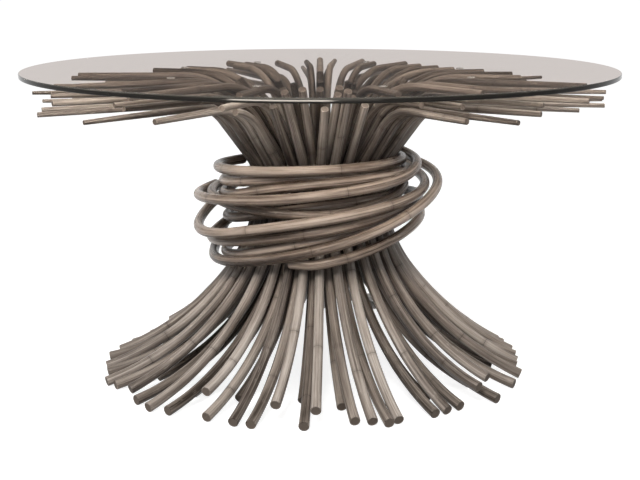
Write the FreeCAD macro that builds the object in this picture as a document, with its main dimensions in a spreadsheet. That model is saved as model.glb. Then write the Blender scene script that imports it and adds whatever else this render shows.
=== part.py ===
import FreeCAD, Part
import Sketcher
import math
import os

# Round dining table: a glass top on a pedestal of bent rattan poles, bound at the waist with rattan cane.
# Frame: millimetres, +Z up, origin on the floor at the centre of the table, front towards -Y.

VECTOR = FreeCAD.Vector
UP = VECTOR(0, 0, 1)
FULL_TURN = 2 * math.pi
QUARTER_TURN = math.pi / 2

# Driving dimensions: alias, value and what it measures (lengths in millimetres, leans in degrees).
SIZES = (
    ("glass_diameter", 1524.0, "across the glass top"),
    ("glass_thickness", 12.0, "thickness of the glass top"),
    ("glass_edge_round", 2.5, "polished round on both rims of the glass"),
    ("base_height", 762.0, "floor to the underside of the glass"),
    ("bumper_diameter", 20.0, "clear bumper under the glass"),
    ("bumper_thickness", 3.0, "glass to the poles below it"),
    ("bumper_inset", 45.0, "bumper's centre, outwards from where its pole runs level"),
    ("bumper_count", 8.0, "bumpers round the crown"),
    ("pole_diameter", 25.4, "rattan pole"),
    ("waist_radius", 162.0, "centre line of the outer ring of poles at the waist"),
    ("waist_height", "=base_height * 0.6168", "floor to the waist, the narrowest place of the bundle"),
    ("ring_count", 32.0, "poles in the outer ring, and in the middle ring"),
    ("inner_count", 24.0, "poles in the inner ring"),
    ("fit_gap", 0.3, "clearance between pieces that bear on each other"),
    ("hoop_thickness", 3.0, "flat hoop between two rings of poles"),
    ("hoop_height", 12.0, "height of a hoop"),
    ("core_thickness", 18.0, "core disc inside the inner ring"),
    ("core_chamfer", 2.0, "bevel on both rims of the core disc"),
    ("core_bend_radius", 250.0, "bend of a stub that stands on the core disc"),
    ("neck_bend_radius", 130.0, "first upward bend of an outer pole"),
    ("crown_start_radius", 360.6, "from the table's centre to where an outer pole runs level"),
    ("crown_start_step", 1.5, "taken off that for each ring further in"),
    ("layer_step", 27.6, "height between the layers of poles under the glass"),
    ("outer_leg_radius", 380.0, "first downward bend of an outer pole"),
    ("middle_leg_radius", 402.0, "first downward bend of a middle pole"),
    ("inner_leg_radius", 460.0, "first downward bend of an inner pole"),
    ("outer_leg_lean", 36.0, "lean of an outer pole at the end of that bend"),
    ("middle_leg_lean", 38.0, "lean of a middle pole at the end of that bend"),
    ("inner_leg_lean", 32.0, "lean of an inner pole at the end of that bend"),
    ("foot_circle_radius", 560.0, "circle that the feet follow on the floor"),
    ("inner_foot_reach", "=min(foot_circle_radius; waist_height * 2.383 - foot_circle_radius)",
     "the same for the inner poles' feet, which run under the others"),
    ("cane_diameter", 27.0, "binding cane"),
)
COUNTS = ("bumper_count", "ring_count", "inner_count")
LEANS = ("outer_leg_lean", "middle_leg_lean", "inner_leg_lean")
# Bend that lays a pole level under the glass, as a share of the height of that run above the waist.
CROWN_BEND_SHARES = {"outer": 0.588, "middle": 0.6353, "inner": 0.676}
# Poles grow thinner upwards: their thickness in the crown's bend, as a share of the pole's diameter.
CROWN_THICKNESS_SHARE = 0.8

# Feet of the outer and middle poles, which alternate round the table, from the right side anticlockwise:
# turn away from the pole's own place, as a share of the step between neighbours.
FOOT_TURN_SHARES = (
    0.0, 0.15, -0.15, 0.2, -0.1, -0.15, 0.2, 0.0, 0.15, -0.2, 0.3, 0.2, -0.15, 0.05, 0.2, -0.1,
    0.35, -0.15, 0.05, 0.2, -0.2, 0.1, -0.3, 0.2, -0.15, 0.15, -0.1, 0.2, -0.1, 0.1, 0.0, -0.1,
    0.0, 0.09, 0.5, 0.3, 0.6, 0.2, 0.05, 0.43, 0.44, 0.34, 0.67, 0.12, 0.39, 0.16, 0.0, 0.34,
    -0.18, 0.53, 0.28, -0.1, -0.6, 0.18, -0.13, -0.34, -0.18, -0.45, -0.84, -0.3, 0.2, 0.3, 0.15, 0.09)
# Their distance from the centre, as a share of the foot circle's radius.
FOOT_RADIUS_SHARES = (
    0.92, 0.9, 0.89, 0.86, 0.8, 0.86, 0.88, 0.88, 0.9, 0.9, 0.89, 0.95, 0.94, 0.98, 0.96, 1.0,
    0.93, 0.99, 0.95, 0.97, 0.94, 0.95, 0.86, 0.91, 0.88, 0.89, 0.86, 0.87, 0.82, 0.88, 0.88, 0.92,
    0.96, 1.0, 1.016, 1.02, 1.055, 1.035, 1.0, 1.05, 1.065, 1.04, 0.946, 1.01, 1.016, 1.016, 0.932, 1.0,
    0.946, 0.95, 0.966, 1.0, 0.98, 0.98, 0.975, 0.97, 0.973, 1.02, 0.929, 0.99, 0.975, 0.94, 0.935, 0.93)
# Poles cut off above the floor: height of the cut end as a share of the pole's diameter, by place.
FOOT_LIFT_SHARES = {
    4: 1.2, 10: 1.0, 16: 1.35, 22: 1.1, 28: 1.2, 42: 1.8, 46: 1.3, 48: 1.02, 56: 1.3, 58: 1.3}
# Feet of the inner poles, the same way.
INNER_FOOT_TURN_SHARES = (
    0.2, 0.4, 0.0, -0.4, 0.1, 0.45, 0.1, -0.35, 0.1, 0.1, 0.3, -0.1,
    0.3, 0.4, -0.1, -0.3, -0.3, 0.1, -0.05, -0.3, -0.25, 0.1, 0.3, -0.2)
INNER_FOOT_RADIUS_SHARES = (
    0.79, 0.72, 0.76, 0.8, 0.84, 0.78, 0.8, 0.77, 0.77, 0.76, 0.77, 0.78,
    0.8, 0.83, 0.84, 0.82, 0.76, 0.7, 0.78, 0.83, 0.82, 0.82, 0.83, 0.8)

# Ends of the poles under the glass: turn away from the pole's own place as a share of its ring's step,
# distance from the centre as a share of the glass's radius, and droop of the level run in degrees.
OUTER_TIP_TURN_SHARES = (
    0.1, -0.2, 0.3, -0.1, 0.2, -0.3, 0.1, 0.25, -0.2, 0.3, -0.1, 0.1, -0.3, 0.2, -0.15, 0.3,
    0.0, 0.2, -0.25, 0.1, 0.3, -0.2, 0.1, -0.3, 0.2, 0.0, -0.2, 0.3, -0.1, 0.2, 0.1, 0.0)
OUTER_TIP_RADIUS_SHARES = (
    0.97, 0.88, 0.95, 0.8, 0.92, 0.72, 0.9, 0.84, 0.9, 0.94, 0.82, 0.95, 0.75, 0.9, 0.96, 0.88,
    0.95, 0.93, 0.95, 0.87, 0.74, 0.45, 0.45, 0.47, 0.42, 0.46, 0.44, 0.72, 0.84, 0.8, 0.88, 0.95)
OUTER_TIP_DROOP_DEGREES = (
    0.4, 1.0, 0.5, 2.5, 1.5, 1.0, 0.5, 2.0, 1.0, 2.5, 1.0, 0.5, 2.0, 1.5, 2.0, 1.0,
    0.8, 1.5, 2.0, 2.8, 2.2, 1.5, 0.5, 1.0, 0.3, 1.0, 0.5, 1.5, 1.0, 0.5, 0.3, 0.2)
MIDDLE_TIP_TURN_SHARES = (
    -0.2, 0.3, 0.0, -0.3, 0.2, 0.1, -0.2, 0.3, -0.1, 0.2, -0.3, 0.1, 0.25, -0.2, 0.1, -0.1,
    0.3, -0.2, 0.2, 0.0, -0.3, 0.2, 0.1, -0.25, 0.3, -0.1, 0.2, -0.2, 0.1, 0.3, -0.2, 0.0)
MIDDLE_TIP_RADIUS_SHARES = (
    0.92, 0.8, 0.95, 0.86, 0.74, 0.93, 0.88, 0.78, 0.92, 0.84, 0.9, 0.76, 0.88, 0.95, 0.8, 0.94,
    0.96, 0.9, 0.94, 0.8, 0.84, 0.66, 0.58, 0.54, 0.5, 0.56, 0.6, 0.7, 0.85, 0.92, 0.95, 0.96)
MIDDLE_TIP_DROOP_DEGREES = (0.0, 0.3)
INNER_TIP_TURN_SHARES = (
    0.1, -0.2, 0.25, -0.1, 0.2, 0.2, -0.2, 0.3, -0.2, 0.15, -0.1, 0.2,
    -0.3, 0.1, 0.2, -0.15, 0.1, -0.2, 0.25, -0.1, 0.2, -0.25, 0.1, 0.3)
INNER_TIP_RADIUS_SHARES = (
    0.68, 0.62, 0.58, 0.6, 0.63, 0.76, 0.68, 0.63, 0.57, 0.6, 0.66, 0.84,
    0.84, 0.9, 0.78, 0.86, 0.66, 0.7, 0.6, 0.64, 0.74, 0.8, 0.9, 0.68)
INNER_TIP_DROOP_DEGREES = (0.0,)
# Thickness at the end of a pole that reaches the glass's rim, as a share of the pole's diameter; a shorter
# one thins less.
TIP_THICKNESS_SHARES = (0.38, 0.46, 0.34, 0.42, 0.5, 0.36, 0.44)
# Poles at the front that end in their straight necks: height of the end as a share of the glass's height
# above the waist.
SHORT_POLES = {
    "outer": {22: 0.8, 23: 0.93, 24: 0.785, 25: 0.94, 26: 0.81},
    "middle": {22: 0.86, 23: 0.945, 24: 0.9, 25: 0.87},
    "inner": {17: 0.93, 18: 0.945},
}

# Poles that stand on the core disc in two circles and fill the crown's middle. Stubs: lean in degrees, and
# height of the end as a share of the glass's height above the waist.
OUTER_CORE_STUBS = {
    0: (40, 0.94), 6: (36, 0.94), 7: (47, 0.935), 8: (30, 0.9), 9: (42, 0.92), 10: (26, 0.88),
    11: (44, 0.94)}
INNER_CORE_STUBS = {
    0: (12, 0.9), 2: (34, 0.945), 4: (18, 0.92), 5: (14, 0.92), 6: (9, 0.94), 7: (16, 0.93)}
# Those at the back that bend on until they run level: turn of the end in degrees, and its distance from the
# centre as a share of the glass's radius.
OUTER_CORE_RUNS = {1: (30, 0.56), 2: (60, 0.66), 3: (90, 0.78), 4: (120.6, 0.7), 5: (150, 0.58)}
INNER_CORE_RUNS = {1: (76.5, 0.72), 3: (105, 0.64)}

# Binding canes. Each place is the number of quarter turns from the left side by way of the front, and,
# as shares of the cane's diameter, how far the cane stands off the waist and how high above it.
INNER_CANE_SHARES = (
    (0.79, 1.53, -6.14), (1, 1.87, -6.04), (2, 2.8, -2.7), (3, 0.94, -4.37), (4, 2.28, -6.59),
    (5, 0.98, -4.0), (6, 0.24, -1.89), (7, 0.35, -2.11), (8, 2.09, -3.11), (9, 0.2, -1.0),
    (10, 0.17, -0.67), (11, 0.17, -0.74), (12, 1.91, -1.93), (13, 0.2, 0.04), (14, 0.2, 0.44),
    (15, 0.2, 0.67), (15.55, 0.72, 0.63), (16, 2.39, 0.4), (17, 0.72, 1.86), (18, 0.54, 1.46),
    (18.15, 0.57, 1.46))
MIDDLE_CANE_SHARES = (
    (-0.35, 2.13, 1.63), (0, 2.94, 1.74), (1, 1.5, 2.59), (2, 0.99, 2.54), (3, 1.16, 1.52),
    (3.5, 1.9, 0.37), (4, 2.43, -0.86), (5, 1.65, 1.37), (6, 1.61, 1.41), (7, 1.31, -0.3),
    (8, 3.57, -0.74), (9, 1.08, -1.63), (9.5, 1.15, -0.85), (10, 1.2, 0.0), (11, 1.45, -1.8),
    (11.6, 2.5, -3.78), (12, 3.69, -5.19), (13, 1.57, -3.13), (14, 2.6, -1.15), (15, 1.39, -3.33),
    (15.3, 1.83, -3.93))
OUTER_CANE_SHARES = (
    (-0.25, 4.43, -0.89), (0, 4.91, -1.07), (1, 2.2, 0.41), (1.5, 2.76, 1.37), (2, 2.35, 2.3),
    (3, 1.76, 2.59), (4, 4.91, -3.85), (5, 2.09, -1.96), (6, 3.24, 0.15), (7, 2.72, 1.56),
    (7.6, 3.76, -3.93), (8, 3.5, -6.93), (9, 2.24, -4.63), (10, 4.5, 0.37), (11, 3.76, 1.93),
    (11.4, 3.83, 2.0))

# How the poles are shared out to files, and how deep the hoops reach below the waist.
MIDDLE_POLES_PER_NODE = 2
INNER_POLE_GROUPS = 3
FIRST_BUMPER_POLE = 1
HOOP_BELOW_SHARE = 0.75

# Distance between the two circles of poles on the core disc, in pole diameters.
CORE_CIRCLES_APART = 1.5

# Measuring a cane's gap to itself: points on each arc, and diameters along the cane to the next turn.
POINTS_PER_ARC = 16
NEXT_TURN_SHARE = 8
VOLUME_TOLERANCE_SHARE = 0.01
CUT_END_TOLERANCE = 0.01


def make_sheet(document):
    """The spreadsheet that holds the driving dimensions."""
    sheet = document.addObject("Spreadsheet::Sheet", "Sizes")
    for row, (alias, value, note) in enumerate(SIZES, start=1):
        sheet.set("A%d" % row, alias)
        sheet.set("B%d" % row, str(value))
        sheet.set("C%d" % row, note)
        sheet.setAlias("B%d" % row, alias)
    document.recompute()
    return sheet


def read_sizes(sheet):
    """The same sizes as numbers, for the bent pieces whose paths are worked out here."""
    size = {}
    for alias, _value, _note in SIZES:
        number = float(sheet.get(alias))
        if alias in COUNTS:
            number = int(round(number))
        elif alias in LEANS:
            number = math.radians(number)
        size[alias] = number
    return size


def ring_sizes(size):
    """What differs between the outer, middle and inner ring of poles."""
    pole = size["pole_diameter"]
    ring_step = pole + size["hoop_thickness"] + 2 * size["fit_gap"]
    under_bumpers = size["base_height"] - size["bumper_thickness"]
    levels = {
        "outer": under_bumpers - pole / 2 - 2 * size["layer_step"],
        "middle": under_bumpers - pole / 2 - size["layer_step"],
        "inner": under_bumpers - pole / 2 * CROWN_THICKNESS_SHARE,
    }
    rings = {}
    for inwards, name in enumerate(("outer", "middle", "inner")):
        waist_radius = size["waist_radius"] - inwards * ring_step
        neck_radius = size["neck_bend_radius"] + inwards * ring_step
        rise = levels[name] - size["waist_height"]
        crown_radius = CROWN_BEND_SHARES[name] * rise
        # the straight neck touches both bends: across and up between their centres, less their radii
        across = size["crown_start_radius"] - inwards * size["crown_start_step"] - waist_radius - neck_radius
        up = rise - crown_radius
        lean = math.atan2(across, up) + math.asin((neck_radius - crown_radius) / math.hypot(across, up))
        rings[name] = {
            "waist_radius": waist_radius,
            "level": levels[name],
            "neck_radius": neck_radius,
            "neck_lean": lean,
            "crown_radius": crown_radius,
            "leg_radius": size[name + "_leg_radius"],
            "leg_lean": size[name + "_leg_lean"],
        }
    return rings


def polar(radius, turn):
    return VECTOR(radius * math.cos(turn), radius * math.sin(turn), 0)


class HalfPath:
    """Half of a pole: it leaves the waist upright and bends away, up or down, in one upright plane."""

    def __init__(self, waist, goal, height, sense):
        offset = goal - waist
        self.waist = waist
        self.reach = offset.Length
        self.direction = offset.normalize()
        self.along = 0.0
        self.height = height
        self.sense = sense
        self.pieces = []
        self.length = 0.0
        self.bend_lengths = []

    def point(self):
        return self.waist + self.direction * self.along + UP * self.height

    def bend(self, radius, lean_before, lean_after):
        """Arc from one lean to another; a lean of a quarter turn is level."""
        along, height = self.along, self.height
        points = [self.point()]
        for lean in ((lean_before + lean_after) / 2, lean_after):
            self.along = along + radius * (math.cos(lean_before) - math.cos(lean))
            self.height = height + self.sense * radius * (math.sin(lean) - math.sin(lean_before))
            points.append(self.point())
        self.pieces.append(points)
        self.bend_lengths.append(radius * (lean_after - lean_before))
        self.length += self.bend_lengths[-1]

    def straight(self, length, lean):
        points = [self.point()]
        self.along += length * math.sin(lean)
        self.height += self.sense * length * math.cos(lean)
        points.append(self.point())
        self.pieces.append(points)
        self.length += length


def leg_path(size, ring, waist, foot, lift):
    """Down from the waist: a bend to the ring's lean, then one bend on to the square-cut end."""
    path = HalfPath(waist, foot, size["waist_height"], -1)
    path.bend(ring["leg_radius"], 0.0, ring["leg_lean"])
    across = path.reach - path.along
    lean = QUARTER_TURN
    for _pass in range(6):
        down = path.height - lift - size["pole_diameter"] / 2 * math.sin(lean)
        lean = 2 * math.atan2(across, down) - ring["leg_lean"]
    half_turn = (lean - ring["leg_lean"]) / 2
    path.bend(math.hypot(across, down) / (2 * math.sin(half_turn)), ring["leg_lean"], lean)
    path.end_tangent = path.direction * math.sin(lean) - UP * math.cos(lean)
    return path


def crown_path(size, ring, waist, tip, droop):
    """Up from the waist: a bend to the neck's lean, the straight neck, the crown's bend, the level run."""
    path = HalfPath(waist, tip, size["waist_height"], 1)
    neck_lean = ring["neck_lean"]
    level_lean = QUARTER_TURN + droop
    radius = ring["crown_radius"]
    path.bend(ring["neck_radius"], 0.0, neck_lean)
    rise = radius * (math.sin(level_lean) - math.sin(neck_lean))
    path.straight((ring["level"] - rise - path.height) / math.cos(neck_lean), neck_lean)
    across = path.reach - path.along
    bend_reach = radius * (math.cos(neck_lean) - math.cos(level_lean))
    if across <= bend_reach:
        path.bend(radius, neck_lean, math.acos(math.cos(neck_lean) - across / radius))
        return path
    path.bend(radius, neck_lean, level_lean)
    path.level_start = path.along
    path.straight((across - bend_reach) / math.sin(level_lean), level_lean)
    return path


def short_crown_path(size, ring, waist, tip, end_share):
    """Up from the waist: a bend to the neck's lean, then straight on to the pole's end."""
    path = HalfPath(waist, tip, size["waist_height"], 1)
    end_height = size["waist_height"] + end_share * (size["base_height"] - size["waist_height"])
    path.bend(ring["neck_radius"], 0.0, ring["neck_lean"])
    path.straight((end_height - path.height) / math.cos(ring["neck_lean"]), ring["neck_lean"])
    return path


def rod(pieces, radius, tangent, length):
    """Round rod with square-cut ends along a smooth chain of lines and arcs."""
    edges = []
    for points in pieces:
        curve = Part.Arc(*points) if len(points) == 3 else Part.LineSegment(*points)
        edges.append(curve.toShape())
    section = Part.Wire([Part.Circle(pieces[0][0], tangent, radius).toShape()])
    solid = Part.Wire(edges).makePipeShell([section], True, False)
    volume = math.pi * radius ** 2 * length
    if abs(solid.Volume - volume) > VOLUME_TOLERANCE_SHARE * volume:
        raise ValueError("a rod's volume doesn't match its length")
    return solid


def tapered_run(points, first_radius, last_radius):
    """Straight stretch of a pole that grows thinner towards its end."""
    run = points[1] - points[0]
    return Part.makeCone(first_radius, last_radius, run.Length, points[0], run)


def joined_stretches(stretches, foot, end):
    """One solid from stretches that meet face to face: their round sides and the two cut ends."""
    faces = []
    for stretch in stretches:
        for face in stretch.Faces:
            off_end = min((face.CenterOfMass - place).Length for place in (foot, end))
            if off_end < CUT_END_TOLERANCE or not isinstance(face.Surface, Part.Plane):
                faces.append(face)
    shell = Part.makeShell(faces)
    shell.sewShape()
    whole = Part.makeSolid(shell)
    volume = sum(stretch.Volume for stretch in stretches)
    if not whole.isValid() or abs(whole.Volume - volume) > VOLUME_TOLERANCE_SHARE * volume:
        raise ValueError("a pole's stretches don't join into one")
    return whole


def bent_pole(size, ring, turn, foot, lift, crown, tip_share):
    """One pole from its foot to its end under the glass: even up to the neck, thinner from there on."""
    radius = size["pole_diameter"] / 2
    crown_radius = radius * CROWN_THICKNESS_SHARE
    leg = leg_path(size, ring, polar(ring["waist_radius"], turn), foot, lift)
    upwards = [points[::-1] for points in reversed(leg.pieces)]
    solid = rod(upwards + crown.pieces[:1], radius, leg.end_tangent * -1, leg.length + crown.bend_lengths[0])
    neck = crown.pieces[1]
    stretches = [solid, tapered_run(neck, radius, crown_radius)]
    if len(crown.pieces) > 2:
        stretches.append(rod(crown.pieces[2:3], crown_radius, neck[1] - neck[0], crown.bend_lengths[1]))
    if len(crown.pieces) > 3:
        run = crown.pieces[3]
        longest_run = size["glass_diameter"] / 2 - size["crown_start_radius"]
        thinning = (CROWN_THICKNESS_SHARE - tip_share) * (run[1] - run[0]).Length / longest_run
        stretches.append(tapered_run(run, crown_radius, crown_radius - radius * thinning))
    return joined_stretches(stretches, upwards[0][0], crown.pieces[-1][-1])


def bent_poles(size):
    """The poles of each ring, in order round the table from the right side anticlockwise."""
    rings = ring_sizes(size)
    tips = {
        "outer": (OUTER_TIP_TURN_SHARES, OUTER_TIP_RADIUS_SHARES, OUTER_TIP_DROOP_DEGREES),
        "middle": (MIDDLE_TIP_TURN_SHARES, MIDDLE_TIP_RADIUS_SHARES, MIDDLE_TIP_DROOP_DEGREES),
        "inner": (INNER_TIP_TURN_SHARES, INNER_TIP_RADIUS_SHARES, INNER_TIP_DROOP_DEGREES),
    }
    places = []
    place_step = FULL_TURN / (2 * size["ring_count"])
    for place in range(2 * size["ring_count"]):
        share = FOOT_TURN_SHARES[place % len(FOOT_TURN_SHARES)]
        radius_share = FOOT_RADIUS_SHARES[place % len(FOOT_RADIUS_SHARES)]
        name = "middle" if place % 2 else "outer"
        turn = place * place_step
        places.append((name, place // 2, turn, turn + share * place_step,
                       size["foot_circle_radius"] * radius_share, FOOT_LIFT_SHARES.get(place, 0.0)))
    inner_step = FULL_TURN / size["inner_count"]
    for number in range(size["inner_count"]):
        share = INNER_FOOT_TURN_SHARES[number % len(INNER_FOOT_TURN_SHARES)]
        radius_share = INNER_FOOT_RADIUS_SHARES[number % len(INNER_FOOT_RADIUS_SHARES)]
        turn = (number + 0.5) * inner_step
        places.append(("inner", number, turn, turn + share * inner_step,
                       size["inner_foot_reach"] * radius_share, 0.0))
    poles = {"outer": [], "middle": [], "inner": []}
    for name, number, turn, foot_turn, foot_radius, lift_share in places:
        tip_turns, tip_radii, droops = tips[name]
        step = inner_step if name == "inner" else 2 * place_step
        foot = polar(foot_radius, foot_turn)
        tip_turn = turn + step * tip_turns[number % len(tip_turns)]
        tip = polar(size["glass_diameter"] / 2 * tip_radii[number % len(tip_radii)], tip_turn)
        lift = size["pole_diameter"] * lift_share
        waist = polar(rings[name]["waist_radius"], turn)
        if number in SHORT_POLES[name]:
            crown = short_crown_path(size, rings[name], waist, tip, SHORT_POLES[name][number])
        else:
            droop = math.radians(droops[number % len(droops)])
            crown = crown_path(size, rings[name], waist, tip, droop)
        tip_share = TIP_THICKNESS_SHARES[number % len(TIP_THICKNESS_SHARES)]
        poles[name].append((bent_pole(size, rings[name], turn, foot, lift, crown, tip_share), crown))
    return poles


def core_top(size):
    """Height of the foot of a pole that stands on the core disc."""
    return size["waist_height"] + size["core_thickness"] / 2 + size["fit_gap"]


def core_stub(size, circle, turn, lean, end_share):
    """Pole that stands on the core disc and leans outwards to a cut end under the glass."""
    radius = size["pole_diameter"] / 2
    end_height = size["waist_height"] + end_share * (size["base_height"] - size["waist_height"])
    path = HalfPath(polar(circle, turn), polar(2 * circle, turn), core_top(size), 1)
    path.bend(size["core_bend_radius"], 0.0, lean)
    path.straight((end_height - path.height) / math.cos(lean), lean)
    bend, run = path.pieces
    stretches = [rod([bend], radius, UP, path.bend_lengths[0]),
                 tapered_run(run, radius, radius * CROWN_THICKNESS_SHARE)]
    return joined_stretches(stretches, bend[0], run[1])


def core_runner(size, circle, turn, end):
    """Thinner pole that stands on the core disc and bends on until it runs level to its end."""
    path = HalfPath(polar(circle, turn), end, core_top(size), 1)
    bend_radius = ring_sizes(size)["inner"]["level"] - path.height
    path.bend(bend_radius, 0.0, QUARTER_TURN)
    path.straight(path.reach - bend_radius, QUARTER_TURN)
    return rod(path.pieces, size["pole_diameter"] / 2 * CROWN_THICKNESS_SHARE, UP, path.length)


def core_poles(size):
    """Both circles of poles on the core disc, which share the level of the inner ring's runs."""
    pole = size["pole_diameter"]
    disc_radius = ring_sizes(size)["inner"]["waist_radius"] - pole / 2 - size["fit_gap"]
    outer_circle = disc_radius - size["core_chamfer"] - pole / 2
    inner_circle = outer_circle - CORE_CIRCLES_APART * pole
    solids = []
    for circle, stubs, runs in ((outer_circle, OUTER_CORE_STUBS, OUTER_CORE_RUNS),
                                (inner_circle, INNER_CORE_STUBS, INNER_CORE_RUNS)):
        count = len(stubs) + len(runs)
        for number in range(count):
            turn = number * FULL_TURN / count
            if number in runs:
                end_turn, radius_share = runs[number]
                end = polar(size["glass_diameter"] / 2 * radius_share, math.radians(end_turn))
                solids.append(core_runner(size, circle, turn, end))
            else:
                lean, end_share = stubs[number]
                solids.append(core_stub(size, circle, turn, math.radians(lean), end_share))
    return solids


def cane_stations(size, shares):
    """Places on a cane's centre line, each with the cane's direction there."""
    cane = size["cane_diameter"]
    against_waist = size["waist_radius"] + size["pole_diameter"] / 2 + size["fit_gap"] + cane / 2
    places = []
    for quarters, off_share, above_share in shares:
        turn = math.pi + quarters * QUARTER_TURN
        places.append((turn, against_waist + off_share * cane, size["waist_height"] + above_share * cane))
    stations = []
    for number, (turn, radius, height) in enumerate(places):
        before = places[max(0, number - 1)]
        after = places[min(len(places) - 1, number + 1)]
        travel = (after[0] - before[0]) * radius
        outwards = polar(1, turn)
        forwards = polar(1, turn + QUARTER_TURN)
        direction = forwards + outwards * ((after[1] - before[1]) / travel)
        direction += UP * ((after[2] - before[2]) / travel)
        stations.append((outwards * radius + UP * height, direction.normalize()))
    return stations


def biarc_corners(start, start_direction, end, end_direction):
    """Two arcs that join two places smoothly, each as its start, its corner of tangents and its end."""
    chord = end - start
    both = start_direction + end_direction
    bend = 2 * (1 - start_direction.dot(end_direction))
    ahead = chord.dot(both)
    side = (math.sqrt(ahead ** 2 + bend * chord.dot(chord)) - ahead) / bend
    first_corner = start + start_direction * side
    last_corner = end - end_direction * side
    joint = (first_corner + last_corner) / 2
    return (start, first_corner, joint), (joint, last_corner, end)


def corner_arc(start, corner, end):
    """The arc that touches both sides of a corner: its centre, its radius and half its turn."""
    chord_middle = (start + end) / 2
    inwards = chord_middle - corner
    side = (corner - start).Length
    half_turn = math.asin(inwards.Length / side)
    radius = side / math.tan(half_turn)
    inwards.normalize()
    return corner + inwards * (radius / math.cos(half_turn)), radius, half_turn


def bound_cane(size, name, shares):
    """One unbroken cane along smooth arcs; its tightest bend and least gap to itself are printed."""
    stations = cane_stations(size, shares)
    diameter = size["cane_diameter"]
    pieces = []
    samples = []
    radii = []
    length = 0.0
    for (start, start_direction), (end, end_direction) in zip(stations, stations[1:]):
        for first, corner, last in biarc_corners(start, start_direction, end, end_direction):
            centre, radius, half_turn = corner_arc(first, corner, last)
            spoke = (first - centre).normalize()
            forwards = (corner - first).normalize()
            for step in range(POINTS_PER_ARC):
                angle = 2 * half_turn * step / POINTS_PER_ARC
                point = centre + (spoke * math.cos(angle) + forwards * math.sin(angle)) * radius
                samples.append((length + radius * angle, point.x, point.y, point.z))
            middle = centre + (spoke * math.cos(half_turn) + forwards * math.sin(half_turn)) * radius
            pieces.append((first, middle, last))
            radii.append(radius)
            length += 2 * radius * half_turn
    next_turn = NEXT_TURN_SHARE * diameter
    least = length
    for number, (along, x, y, z) in enumerate(samples):
        for other_along, other_x, other_y, other_z in samples[number + 1:]:
            if other_along - along > next_turn:
                apart = math.sqrt((x - other_x) ** 2 + (y - other_y) ** 2 + (z - other_z) ** 2)
                least = min(least, apart)
    print("%s: length %.0f, tightest bend %.0f, least gap to itself %.2f mm" % (
        name, length, min(radii), least - diameter))
    return rod(pieces, diameter / 2, stations[0][1], length)


def origin_plane(body, role):
    for feature in body.Origin.OriginFeatures:
        if feature.Role == role:
            return feature
    raise ValueError("no plane " + role)


def round_plate(document, name, radii, bottom, thickness):
    """Body with a round pad, or a ring where two radii are given; all sizes are sheet expressions."""
    body = document.addObject("PartDesign::Body", name)
    body.Label = name
    sketch = body.newObject("Sketcher::SketchObject", name + "_outline")
    sketch.AttachmentSupport = [(origin_plane(body, "XY_Plane"), "")]
    sketch.MapMode = "FlatFace"
    sketch.setExpression("AttachmentOffset.Base.z", bottom)
    for number, radius in enumerate(radii):
        first_radius = len(radii) - number
        sketch.addGeometry(Part.Circle(VECTOR(0, 0, 0), UP, first_radius), False)
        sketch.addConstraint(Sketcher.Constraint("Coincident", number, 3, -1, 1))
        index = sketch.addConstraint(Sketcher.Constraint("Radius", number, first_radius))
        sketch.setExpression("Constraints[%d]" % index, radius)
    pad = body.newObject("PartDesign::Pad", name + "_pad")
    pad.Profile = sketch
    pad.setExpression("Length", thickness)
    document.recompute()
    return body, pad


def dress_rims(document, body, pad, kind, name, size_name, expression):
    """Fillet or chamfer on the round rims of a pad."""
    rims = []
    for number, edge in enumerate(pad.Shape.Edges, start=1):
        if isinstance(edge.Curve, Part.Circle):
            rims.append("Edge%d" % number)
    dressing = body.newObject(kind, name)
    dressing.Base = (pad, rims)
    dressing.setExpression(size_name, expression)
    document.recompute()


def inside_ring(inwards):
    """Expression for the radius that just fits inside a ring of poles, counted inwards from nought."""
    ring_step = "(Sizes.pole_diameter + Sizes.hoop_thickness + 2 * Sizes.fit_gap)"
    return "Sizes.waist_radius - %d * %s - Sizes.pole_diameter / 2 - Sizes.fit_gap" % (inwards, ring_step)


def make_bumpers(document, size, crowns):
    """Clear bumpers on the level runs of inner poles, spread evenly round the crown."""
    discs = []
    for number in range(size["bumper_count"]):
        crown = crowns[FIRST_BUMPER_POLE + number * len(crowns) // size["bumper_count"]]
        centre = crown.waist + crown.direction * (crown.level_start + size["bumper_inset"])
        disc = document.addObject("Part::Cylinder", "bumper_%d" % (number + 1))
        disc.setExpression("Radius", "Sizes.bumper_diameter / 2")
        disc.setExpression("Height", "Sizes.bumper_thickness - Sizes.fit_gap")
        disc.Placement.Base = centre
        disc.setExpression("Placement.Base.z", "Sizes.base_height - Sizes.bumper_thickness + Sizes.fit_gap")
        discs.append(disc)
    group = document.addObject("Part::Compound", "glass_bumpers")
    group.Label = "glass_bumpers"
    group.Links = discs
    return group


def add_shape(document, name, solids):
    """Feature that holds one bent piece, or several as a compound."""
    feature = document.addObject("Part::Feature", name)
    feature.Label = name
    feature.Shape = solids[0] if len(solids) == 1 else Part.makeCompound(solids)
    feature.Placement = FreeCAD.Placement()
    return feature


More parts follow.
